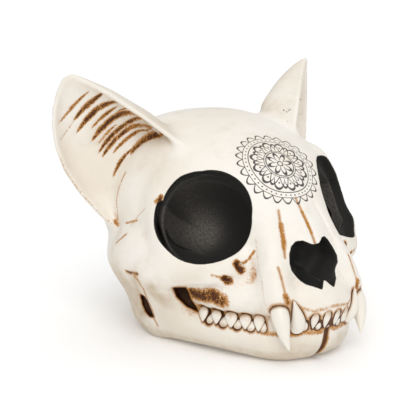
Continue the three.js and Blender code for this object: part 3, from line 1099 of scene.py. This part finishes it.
@dataclass(frozen=True)
class Canine:
    """The left canine of one jaw: a gently curved spike that grows out of the gum."""

    stations: tuple[Station, ...]
    sides: int = 28
    rings: int = 44

    def distance(self, x: Array, y: Array, z: Array) -> Array:
        """Distance from the spike's skin."""
        return Tube(self.stations)(x, y, z)

    def skin(self) -> Skin:
        """The spike's skin, closed at both ends."""
        line = Tube(self.stations, steps=12).line()
        share = np.linspace(0, len(line) - 1, self.rings)
        path = np.stack([np.interp(share, np.arange(len(line)), line[:, i]) for i in range(4)], 1)
        ahead = np.gradient(path[:, :3], axis=0)
        ahead /= np.linalg.norm(ahead, axis=1, keepdims=True)
        points, normals = [], []
        turn = np.linspace(0, 2 * math.pi, self.sides, endpoint=False)
        for p, t in zip(path, ahead):
            a = np.cross(t, [1.0, 0, 0])
            a /= np.linalg.norm(a)
            b = np.cross(t, a)
            ring = np.cos(turn)[:, None] * a + np.sin(turn)[:, None] * b
            points.append(p[:3] + p[3] * ring)
            normals.append(ring)
        n = self.sides
        ends = np.array([path[0, :3], path[-1, :3] + ahead[-1] * path[-1, 3]])
        all_points = np.concatenate(points + [ends])
        all_normals = np.concatenate(normals + [np.array([-ahead[0], ahead[-1]])])
        k = np.arange(n)
        j = (k + 1) % n
        quads = [np.stack([r * n + k, r * n + j, (r + 1) * n + j, (r + 1) * n + k], 1)
                 for r in range(self.rings - 1)]
        last = (self.rings - 1) * n
        top, tip = len(all_points) - 2, len(all_points) - 1
        caps = [(top, int(b), int(a)) for a, b in zip(k, j)]
        caps += [(tip, int(last + a), int(last + b)) for a, b in zip(k, j)]
        skin = Skin(all_points, np.concatenate(quads), all_normals, caps)
        a, b, c = (all_points[i] for i in quads[0][0][:3])
        if np.dot(np.cross(b - a, c - a), a - path[0, :3]) < 0:
            skin.quads = skin.quads[:, ::-1].copy()
            skin.caps = [f[::-1] for f in caps]
        return skin


@dataclass(frozen=True)
class Fold:
    """A curved crease in the ear's bowl, an arc round the ear's root in the ear's own flat."""

    radius: float
    start: float
    end: float
    width: float
    depth: float
    stain: float
    drift: float = 0.0
    bends_from: float = 60.0
    root: tuple[float, float] = (25.8, 62.0)

    def weight(self, s: Array, z: Array) -> Array:
        """1 on the crease and less beside it and past its ends."""
        turn = np.degrees(np.arctan2(z - self.root[1], s - self.root[0]))
        middle = 0.5 * (self.start + self.end)
        reach = np.hypot(s - self.root[0], z - self.root[1]) + self.drift * (turn - middle) / 20
        reach = reach + 0.012 * np.maximum(turn - self.bends_from, 0) ** 2
        past = np.maximum(np.maximum(self.start - turn, turn - self.end), 0) / 3.5
        full = np.clip(np.minimum(turn - self.start, self.end - turn) / 14 + 0.55, 0.3, 1)
        return np.exp(-((reach - self.radius) / (self.width * full)) ** 2 - past ** 2)


@dataclass(frozen=True)
class Stroke:
    """A brush stroke of wash along points on the skin."""

    points: tuple[Point, ...]
    width: float
    strength: float

    def weight(self, x: Array, y: Array, z: Array) -> Array:
        """The wash that the stroke leaves at each point."""
        line = self.points if len(self.points) > 1 else self.points * 2
        gap = Engraving(line, 1, 0).distance(x, y, z)
        return self.strength * np.exp(-(gap / self.width) ** 2)


@dataclass
class Skull:
    """The whole head: its clay, its openings, its engraved lines and its washes."""

    socket_centre: Point = (36.3, -29.2, 61.2)
    socket_axis: Point = (0.473, -0.775, 0.419)
    socket_radii: Point = (20.3, 20.0, 24.0)
    lobe_radii: Point = (18.8, 17.8, 20.0)
    bowl_radii: Point = (18.7, 18.5, 22.0)
    step: float = 4.6
    nose: NoseOpening = field(default_factory=NoseOpening)
    ear: EarShell = field(default_factory=EarShell)
    clay: Clay = field(default_factory=Clay)
    teeth: Teeth = field(default_factory=Teeth)
    canines: dict[str, Canine] = field(default_factory=lambda: {
        "upper": Canine(((19.5, -56, 36, 2.5), (20.1, -58.3, 29, 3.3), (21, -61.6, 22.5, 3.8),
                         (20.9, -64.1, 15.5, 2.4), (19.8, -65.9, 9.6, 0.5))),
        "lower": Canine(((13.2, -61, 15.5, 2), (13.6, -63.8, 18.4, 3.2), (14.9, -65.4, 22.6, 2.6),
                         (16.6, -64.8, 29.2, 0.5)))})
    overlap: float = 1.0
    folds: tuple[Fold, ...] = (
        Fold(24.0, -24, 50, 0.8, 0.5, 0.75), Fold(28.2, 46, 86, 1.9, 0.8, 1.05, -2.0, 90),
        Fold(28.1, 20, 46, 0.9, 0.5, 0.9), Fold(33.0, 38, 66, 0.8, 0.6, 0.85),
        Fold(32.0, 69, 86, 0.6, 0.4, 0.8, 0, 70), Fold(36.2, 31, 78, 0.9, 0.9, 1.15, 0, 56),
        Fold(38.6, 32, 84, 0.9, 0.9, 1.15, 0, 62), Fold(40.8, 36, 50, 0.7, 0.4, 0.7),
        Fold(43.9, 37, 78, 1.25, 0.9, 1.1, 0, 52), Fold(45.2, 60, 75, 0.6, 0.3, 0.85, 0, 57),
        Fold(47.2, 43, 58, 0.8, 0.6, 0.85), Fold(51.3, 37, 61, 1.2, 0.9, 1.1, 0, 48),
        Fold(55.3, 41, 57, 1.2, 0.8, 1.0), Fold(59.3, 37, 51, 0.8, 0.4, 0.75),
        Fold(55.0, 30, 36, 0.7, 0.3, 0.4))
    brushed: list[Stroke] = field(default_factory=list)
    lines: list[Engraving] = field(default_factory=list)
    gaps: list[Slot] = field(default_factory=list)
    grid: Grid = field(init=False)

    def sockets(self) -> list[Egg]:
        """The left eye socket: its deep bowl, the wider step at its rim and the step's top."""
        n = Vector(self.socket_axis).normalized()
        side = Vector((0.87, 0.43, -0.24))
        side = (side - side.dot(n) * n).normalized()
        up = n.cross(side)
        up = up if up.z > 0 else -up
        axes = (tuple(side), tuple(up), tuple(n))
        c = Vector(self.socket_centre)
        return [Egg(tuple(c - 5 * n - 0.9 * side - 1.5 * up), self.bowl_radii, axes),
                SocketStep(tuple(c - 4 * n + 0.7 * side - 0.1 * up), self.socket_radii, axes),
                Egg(tuple(c + 2 * n - 1.3 * side + 1.8 * up), self.lobe_radii, axes)]

    def seams(self) -> list[Engraving]:
        """Lines that are engraved and filled with dark wash."""
        return [
            Engraving(((0, -43, 66), (0, -49, 60), (0, -54, 55), (0, -58, 51)), 0.9, 1.2, 0.1),
            Engraving(((9.8, -45, 63), (11.3, -48.5, 58), (12.3, -51.5, 52.8), (13.3, -54, 49.3),
                       (14.2, -56, 46)), 0.9, 1.0, 0.1),
            Engraving(((19.1, -57, 42.5), (19.2, -59, 39), (19.4, -61.4, 35), (19.5, -62.8, 32)),
                      0.5, 0.45, 0.05),
            Engraving(((0, -68.3, 14), (0, -66.5, 8), (0, -62, 2.5), (0, -56, 0)), 1.5, 2.0, 1.3),
            Engraving(((56.8, -4.6, 34), (56.7, -8.1, 31.5), (54.7, -8.7, 28), (48.7, -2.5, 20.2),
                       (44.9, -1.5, 10.7), (44, -2.9, 7.6)), 0.6, 0.7, 0.15),
            Engraving(((56.6, -3.6, 34.2), (57.2, 0.6, 33.9)), 0.8, 0.8, 0.5),
            Engraving(((56.4, -4.6, 34.2), (56, -8, 34.8)), 0.8, 0.7, 0.45),
        ]

    def strokes(self) -> list[Stroke]:
        """Where the wash was brushed on, apart from the hollows that hold it anyway."""
        return [
            Stroke(((48.6, -14.2, 68.6), (49.2, -14.2, 66.8)), 1.0, 1.8),
            Stroke(((50.3, -13.2, 66.6),), 1.5, 0.7),
            Stroke(((46.6, 17.4, 74), (48.8, 20, 66.6), (49.3, 21.4, 61), (49.3, 20.4, 52.4)),
                   0.8, 0.55),
            Stroke(((44.5, 23, 50), (41, 18.5, 50.5)), 1.1, 0.9),
            Stroke(((51.8, 9.3, 53), (52.1, 4.7, 54.4), (51.7, 0.3, 55.9)), 0.7, 0.6),
            Stroke(((52.4, 4.2, 52.8), (51.6, -0.4, 58), (51.8, -6.5, 62.7)), 0.6, 0.35),
            Stroke(((56.5, 11.1, 44.6), (53.9, 6.1, 49)), 1.0, 0.6),
            Stroke(((40.1, -19.4, 27.8), (38, -24, 27.2), (37.7, -29.6, 26.8), (36.1, -34, 28),
                    (34.1, -38.5, 26.2)), 3.1, 1.4),
            Stroke(((29.5, -42.8, 42.3), (28, -43.5, 40.6)), 1.6, 1.8),
            Stroke(((27, -43.3, 42.4), (24.3, -44, 44.2), (22.5, -45.3, 47.6)), 0.7, 0.75),
            Stroke(((39.8, -39, 38.4), (36.7, -40.6, 37.5)), 0.7, 0.6),
            Stroke(((34.6, -40.5, 36.8), (32.2, -41, 35.4)), 1.5, 1.8),
            Stroke(((21, -44.5, 52), (23, -48.5, 43.5), (24.8, -54, 35), (25.4, -57.5, 27.5)),
                   0.8, 0.32),
            Stroke(((11.3, -48.5, 58), (12.3, -51.5, 52.8), (13.4, -54, 49.3)), 1.3, 0.85),
            Stroke(((0, -48, 61.5), (0, -51, 58), (0, -55, 54)), 0.9, 0.8),
            Stroke(((19.7, -62.8, 31.6), (18.8, -63.5, 29)), 1.5, 0.9),
            Stroke(((15.5, -64.5, 27), (9, -68, 25), (0, -70, 26)), 1.0, 0.5),
            Stroke(((24, -55, 14.5), (19, -60, 14), (12, -65, 14.5), (0, -68, 14.5)), 1.3, 0.6),
            Stroke(((0, -66.5, 10), (0, -64, 5), (0, -59, 1)), 1.4, 2.2),
        ]

    def rubs(self) -> list[Stroke]:
        """Where the tan lies thicker: along the ramus and behind it and on the cheek below the eye,
        and as painted shade on the chin.
        """
        return [Stroke(((54, -14.6, 29), (52, -14, 26.5), (48.5, -16, 23)), 4.2, 0.95),
                Stroke(((57, -6, 32.5), (52, 0, 26), (47, 5, 20), (46, 7, 13)), 4.0, 0.85),
                Stroke(((55, 10, 34), (52, 16, 28), (46, 22, 20)), 6.0, 0.45),
                Stroke(((14, -62, 9), (5, -65, 8)), 4.0, 0.4),
                Stroke(((48, -27, 36), (44, -34, 38)), 3.5, 0.3)]

    @staticmethod
    def head_forms() -> list[tuple[Form, float]]:
        """The braincase, the snout and the edge of the upper jaw, each with its fillet."""
        return [
            (Egg((0, 27, 55), (43, 42.9, 37)), 0),
            (Paired(Egg((13, 23, 58), (35, 41.5, 38.5)), 14), 10),
            (Egg((0, 0, 60.5), (50, 43, 32)), 12),
            (Egg((0, -22, 46), (30, 30, 26)), 6),
            (Egg((0, -14, 30), (31, 38, 20)), 8),
            (Tube(((0, -30, 58, 15), (0, -47, 43, 13.5), (0, -51.5, 30, 12.5))), 8),
            (Paired(Tube(((12, -37, 64, 4.5), (13.5, -43, 53, 6), (16.5, -51, 40, 7.2),
                          (18.8, -57, 29.5, 6.6))), 4), 5),
            (Tube(((19, -49, 27, 7), (26, -40, 27, 7), (31, -28, 27, 7), (30, -12, 28, 9))), 6),
            (Paired(Egg((4, -57.3, 25), (13.5, 12.4, 10)), 6), 5)]

    @staticmethod
    def cheek_forms() -> list[tuple[Form, float]]:
        """The cheek bone, the rim behind the eye, the temple and the ear capsule."""
        return [
            (Tube(((24, -38, 42, 6), (32, -36, 39.5, 6.5), (40.5, -29, 38.5, 7),
                   (46.5, -18, 39.5, 8), (49.5, -4, 40, 8.5), (50, 8.5, 38, 8.3),
                   (46, 19, 36, 8.6), (37, 27, 36, 12)), (1, 1, 1.15)), 5),
            (Tube(((46, -19, 47, 7), (45.5, -12.5, 57, 7.5), (42, -9, 66, 8),
                   (36, -10, 73, 8))), 6),
            (Egg((38, 4, 46), (13, 16, 20)), 8),
            (Egg((0, 24, 42), (37, 42, 26)), 10),
            (Tube(((36, 22, 42, 11), (35.5, 25, 28, 10.5), (31.5, 26, 18, 10),
                   (26.5, 27.5, 9.5, 8.8))), 7)]

    @staticmethod
    def jaw_forms() -> list[tuple[Form, float]]:
        """The lower jaw's body, its two branches and corner, the chin and the cheek's floor."""
        return [
            (Tube(((4, -54, 10.8, 9.5), (13, -50, 10.6, 10.5), (21, -39, 11.1, 9.9),
                   (28.2, -24, 10.9, 9.1), (33, -8, 10, 8.9), (34.5, 6, 8.8, 9)),
                  (1, 1, 1.05)), 3),
            (Tube(((36, -9, 14, 6.5), (42, -10.5, 24, 6.5), (47, -12, 33, 7)), (1, 1.6, 1)), 5),
            (Tube(((36.5, -1, 12, 6.5), (42.5, -3.5, 24, 7), (48.5, -5.5, 33, 7.5)),
                  (1, 1.5, 1)), 5),
            (Tube(((45, 10, 31, 7), (41, 12, 22, 7), (36.5, 14, 12, 7)), (1, 1.3, 1)), 5),
            (Tube(((34.5, 4, 8.8, 9), (33.5, 16, 8.6, 8.8), (27, 27, 9.2, 9))), 5),
            (Egg((0, -52.5, 13.5), (18, 14, 12.6)), 5),
            (Egg((35, -15, 35), (8, 8, 6)), 3)]

    def model(self) -> None:
        """Builds the clay, form by form."""
        c = self.clay
        for forms in (self.head_forms(), self.cheek_forms(), [(self.ear, 4)], self.jaw_forms()):
            for form, fillet in forms:
                c.add(form, fillet)
        # ridge across the back of the head, the spinal opening and the two knobs beside it
        c.add(Tube(((0, 67, 66, 3.2), (12, 64.8, 63.5, 3.2), (24, 58, 57, 3.2),
                    (33, 48, 47, 3.5))), 4)
        c.cut(Egg((0, 63, 30), (8, 8.5, 6.5)), 2)
        c.add(Tube(((7, 60, 24, 2.6), (10, 61.5, 28.5, 3), (9.5, 60.5, 34, 2.2))), 2)
        # under the jaw, behind the cheek teeth and the two small pits below the eye
        c.cut(Egg((0, -10, -2), (17, 36, 13)), 2)
        c.cut(Tube(((47, -25, 27.5, 4.2), (42.5, -31.5, 29, 4.4), (38, -37.5, 30, 3.2))), 1.5)
        c.cut(Egg((28.5, -44, 41.4), (2.2, 2.6, 1.9)), 1.2)
        c.cut(Egg((33.8, -42, 36.2), (2.8, 2.8, 1.5)), 1.2)
        self.gaps = [
            Slot(((46.9, -20.9, 29.8), (43.2, -24.5, 30.2), (39.6, -23, 24), (34.6, -21.5, 17.4),
                  (38, -17.8, 19.8), (44, -19, 25.3)), depth=8),
            Slot(((47.2, 5.4, 20.5), (49.5, -1.4, 21.7), (47.3, -0.9, 18.2), (45, -1.7, 11.5),
                  (45.1, 1.1, 11.1), (44.9, 4.9, 12.4), (45.4, 6.5, 15.4)), depth=7)]
        for gap in self.gaps:
            c.cut(gap, 0.5)
        bowl, *steps = self.sockets()
        for wider in steps:
            c.sink(wider, self.step, 0.7)
        c.cut(bowl, 0.7)
        c.cut(self.nose, 0.8)
        for seam in self.seams():
            self.lines.append(replace(seam, points=c.seated(seam.points)))
        for seam in self.lines:
            c.engrave(seam)
        self.lines = [replace(seam, points=c.seated(seam.points, 1)) for seam in self.lines]
        for stroke in self.strokes():
            self.brushed.append(replace(stroke, points=c.seated(stroke.points)))
        c.press(*self.ear.reach(), self.creases)
        floor = -self.clay.axes[2][None, None, :]
        c.values = np.maximum(c.values, floor.astype(np.float32))
        self.grid = c.whole()
        self.teeth.place(self.grid)

    def creases(self, x: Array, y: Array, z: Array) -> Array:
        """How far the folds of the ear's bowl are pressed in."""
        s = self.ear.across(x, y)
        near = np.exp(-(np.maximum(np.abs(self.ear.bowl(x, y, z)), 1.5) - 1.5) ** 2 / 3)
        return sum(f.depth * f.weight(s, z) for f in self.folds) * near * self.ear.inside(x, y, z)

    def jaw_region(self, x: Array, y: Array, z: Array) -> Array:
        """Distance to the space that belongs to the lower jaw."""
        body = [(-90, -9), (-90, 19.2), (-23, 17.9), (10, 17.2), (14, 8), (14, -9)]
        branch = [(-24, 20), (-17, 31), (8, 31), (13, 18), (13, 8), (-19, 8)]
        high = np.maximum(polygon_distance(y + 0 * z, z + 0 * y, branch), 36 - np.abs(x))
        return np.minimum(polygon_distance(y + 0 * z, z + 0 * y, body) + 0 * x, high)

    def piece(self, low: Sequence[float], high: Sequence[float],
              region: Callable[[Array, Array, Array], Array]) -> Skin:
        """The closed skin of the clay inside a region.

        Args:
            low: lowest corner that the region may reach.
            high: highest corner.
            region: distance to the region, negative inside.
        Returns:
            The skin, with the smooth clay's own normals on its outer side.
        """
        part = self.grid.cropped(low, high)
        p = np.ix_(*part.axes)
        solid = Grid(part.axes, np.maximum(part.values, region(*p)).astype(np.float32))
        for axis in range(3):
            for end in (0, -1):
                edge = [slice(None)] * 3
                edge[axis] = end
                solid.values[tuple(edge)] = np.maximum(solid.values[tuple(edge)], 0.3)
        skin = Skin.of(solid)
        skin.relax(solid)
        outer = np.abs(part.sample(skin.points)) < 0.25
        skin.normals = np.where(outer[:, None], part.slope(skin.points),
                                solid.slope(skin.points))
        return skin


@dataclass
class Dressing:
    """Paint, wash, painted shade and a painted highlight on the cast: what each point of a skin
    carries.
    """

    skull: Skull

    def marks(self, points: Array, normals: Array) -> dict[str, Array]:
        """Numbers for the bone finish: black paint with a painted highlight, dark lines, wash, and
        tan with painted shade.

        Args:
            points: the skin's points in mm.
            normals: the directions that they face.
        Returns:
            Arrays by attribute name.
        """
        x, y, z = np.abs(points[:, 0]), points[:, 1], points[:, 2]
        skull = self.skull
        void = np.full(len(x), FAR)
        inward = np.array(skull.socket_axis) / np.linalg.norm(skull.socket_axis)
        deep = (np.array(skull.socket_centre) - np.stack([x, y, z], 1)) @ inward
        for hollow in skull.sockets():
            void = np.minimum(void, hollow(x, y, z) - 0.35 - 0.15 * np.clip(deep - 3, 0, 6))
        void = np.minimum(void, np.maximum(skull.nose(x, y, z) - 0.35, y + 50 - 8))
        ink = skull.teeth.ink(points[:, 0], y, z)
        for canine in skull.canines.values():
            ink = np.minimum(ink, canine.distance(x, y, z) - 0.4)
        # the snout's cat-left groove is rubbed almost clean
        worn = (fade(points[:, 0], 4, 2) * fade(z, 42, 3) * fade(z, 70, -3)
                * fade(y, -40, -3))
        for seam in skull.lines:
            ink = np.minimum(ink, seam.distance(x, y, z) - seam.stain + 0.75 * worn)
        # inside the two slots behind the cheek: dark brown wash and painted shade of their depth
        for gap in skull.gaps:
            ink = np.minimum(ink, gap(x, y, z) - 0.3)
        across = skull.ear.across(x, y)
        ahead = points + normals
        hollow = (np.clip(2.2 - np.abs(skull.ear.bowl(x, y, z)), 0, 1) * np.clip(
            0.5 - skull.ear.bowl(np.abs(ahead[:, 0]), ahead[:, 1], ahead[:, 2]), 0, 1))
        held = np.zeros(len(x))
        for reach, strength in ((1.5, 0.9), (4.0, 0.4)):
            open_ = skull.grid.sample(points + normals * reach) / reach
            held = np.maximum(held, strength * fade(open_, 0.9, -0.7))
        wash = (0.8 * held * (1 - 0.75 * hollow) * np.clip(void / 0.8, 0, 1)
                * fade(z, 86, -6) * (1 - Stroke(((28, -43, 38),), 4, 1).weight(x, y, z))
                * (1 - fade(y, 50, 5) * fade(z, 44, 4)))
        # painted highlight: the void is deepened in the lower middle of each eye socket, so that the
        # grey dry-brush shows there
        painted_highlight = Stroke(((22.5, -10, 48),), 9.0, 4.5).weight(x, y, z)
        void = np.where(void < -0.5, void - painted_highlight, void)
        for stroke in skull.brushed:
            wash = np.maximum(wash, stroke.weight(x, y, z))
        wash = wash * (1 - 0.8 * worn)
        inside = skull.ear.inside(x, y, z)
        for fold in skull.folds:
            wash = np.maximum(wash, 1.2 * fold.stain * fold.weight(across, z) * hollow * inside)
        turn = np.degrees(np.arctan2(z - Fold.root[1], across - Fold.root[0]))
        # the ears' sides that face the head's middle get painted shade in the tan below
        ear = np.clip(1.5 - skull.ear.body(x, y, z), 0, 1) * fade(z, 60, 15)
        low = fade(z, 40, -40)
        behind = fade(y, 3, 7) * fade(z, 36, -10)
        # tan: slightly darker towards the bottom and along the floor edge, on faces that point down,
        # under the ear bowls' inner rims and on the ears' middle-facing sides, all painted shade; the
        # lower back of the head is simply darker tan
        tone = (0.04 * low + 0.75 * behind + 0.3 * fade(z, 6.5, -1.5)
                + 0.35 * np.clip(0.15 - normals[:, 2], 0, 1) * (0.3 + low)
                + 0.9 * hollow * inside * fade(turn, 54, 20)
                + 0.7 * ear * (1 - hollow) * np.clip(-normals[:, 0] * np.sign(points[:, 0]), 0, 1))
        # the chin's stroke is painted shade
        for rub_and_shade in skull.rubs():
            tone = tone + rub_and_shade.weight(x, y, z)
        return {"void": void, "ink": ink, "wash": wash, "tone": np.clip(tone, 0, 1)}


# ---- studio -------------------------------------------------------------------------------


@dataclass
class Studio:
    """Floor, light and camera."""

    eye: Point = (-316.77, -431.86, 173.61)
    target: Point = (-14.38, 0.0, 56.73)
    lens: float = 103.85

    def build(self) -> None:
        """Adds the floor, the lights and the camera."""
        scene = bpy.context.scene
        floor = bpy.data.meshes.new("studio_floor")
        floor.from_pydata([(-6, -6, 0), (6, -6, 0), (6, 6, 0), (-6, 6, 0)], [], [(0, 1, 2, 3)])
        sheet = Sheet("studio_white")
        sheet.put(sheet.shader.inputs["Base Color"], (0.95, 0.95, 0.95, 1))
        sheet.put(sheet.shader.inputs["Roughness"], 0.95)
        sheet.put(sheet.shader.inputs["Emission Color"], (1, 1, 1, 1))
        sheet.put(sheet.shader.inputs["Emission Strength"], 0.1)
        floor.materials.append(sheet.material)
        into_scene("studio_floor", floor)
        world = bpy.data.worlds.new("studio_world")
        world.use_nodes = True
        world.node_tree.nodes["Background"].inputs["Color"].default_value = (1, 1, 1, 1)
        world.node_tree.nodes["Background"].inputs["Strength"].default_value = 0.5
        scene.view_settings.view_transform = "Standard"
        scene.world = world
        self._lamp("key_light", (-0.5, -0.75, 0.92), 40, 1.25)
        self._lamp("top_light", (0.2, 0.1, 1.3), 70, 0.7)
        camera = bpy.data.cameras.new("camera")
        camera.lens = self.lens
        camera.sensor_width = 36.0
        camera.clip_start = 0.01
        seen = into_scene("camera", camera)
        eye, target = Vector(self.eye) * MM, Vector(self.target) * MM
        seen.location = eye
        seen.rotation_euler = (target - eye).to_track_quat("-Z", "Y").to_euler()
        scene.camera = seen

    @staticmethod
    def _lamp(name: str, place: Point, spread: float, power: float) -> None:
        """Adds soft light from a direction, spread over an angle in degrees."""
        light = bpy.data.lights.new(name, "SUN")
        light.angle = math.radians(spread)
        light.energy = power
        lamp = into_scene(name, light)
        lamp.location = place
        way = Vector((0, 0, 0.05)) - Vector(place)
        lamp.rotation_euler = way.to_track_quat("-Z", "Y").to_euler()


def ride(piece: bpy.types.Object, slot: str, *nodes: str) -> None:
    """Fixes a piece to the part's body and hides the solids that it stands for."""
    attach(piece, "root")
    if nodes:
        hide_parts(*nodes)
    LOG.info("%s: %d faces", piece.name, len(piece.data.polygons))


def main() -> None:
    """Builds the skull and its studio."""
    logging.basicConfig(level=logging.INFO, format="%(message)s")
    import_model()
    Studio().build()
    skull = Skull()
    skull.model()
    bone = CastBone().make(Rosette())
    enamel = Enamel().make()
    dressing = Dressing(skull)
    half = skull.overlap

    def ear_side(x: Array, y: Array, z: Array) -> Array:
        """Distance to the space that belongs to the left ear."""
        return skull.ear(x, y, z) - half

    def cranium_side(x: Array, y: Array, z: Array) -> Array:
        """Distance to the space that belongs to the left half of the cranium."""
        away = np.where(z > 30, -skull.ear(x, y, z) + 0 * x, -FAR)
        return np.maximum.reduce([-half - x + 0 * (y + z), away,
                                  -skull.jaw_region(x, y, z) - half])

    parts: list[tuple[str, Skin, tuple[str, ...]]] = []
    left = skull.piece((-half, -77, 0), (74, 75, 105), cranium_side)
    parts.append(("cranium_left", left, ("cranium",)))
    parts.append(("cranium_right", left.mirrored(), ("cranium",)))
    ear = skull.piece((4, -26, 28), (76, 70, 122), ear_side)
    parts.append(("ear_left_cast", ear, ("ear_left",)))
    parts.append(("ear_right_cast", ear.mirrored(), ("ear_right",)))
    jaw = skull.piece((-62, -77, -1), (62, 20, 40), skull.jaw_region)
    parts.append(("mandible_cast", jaw, ("mandible",)))
    for name, skin, nodes in parts:
        made = write_mesh(name, skin, bone, dressing.marks(skin.points, skin.normals))
        ride(made, "bone", *nodes)
    for jaw_name, canine in skull.canines.items():
        skin = canine.skin()
        for side in Side:
            form = skin if side is Side.LEFT else skin.mirrored()
            marks = {"ink": np.abs(skull.grid.sample(form.points)) - 0.25,
                     "root": 0 * form.points[:, 0]}
            made = write_mesh(f"{jaw_name}_canine_{side.word}_cast", form, enamel, marks)
            ride(made, "tooth", f"{jaw_name}_canine_{side.word}")
    for upper in (True, False):
        name = "upper_small_teeth" if upper else "lower_small_teeth"
        ride(skull.teeth.build(name, upper, enamel), "tooth")


if __name__ == "__main__":
    main()
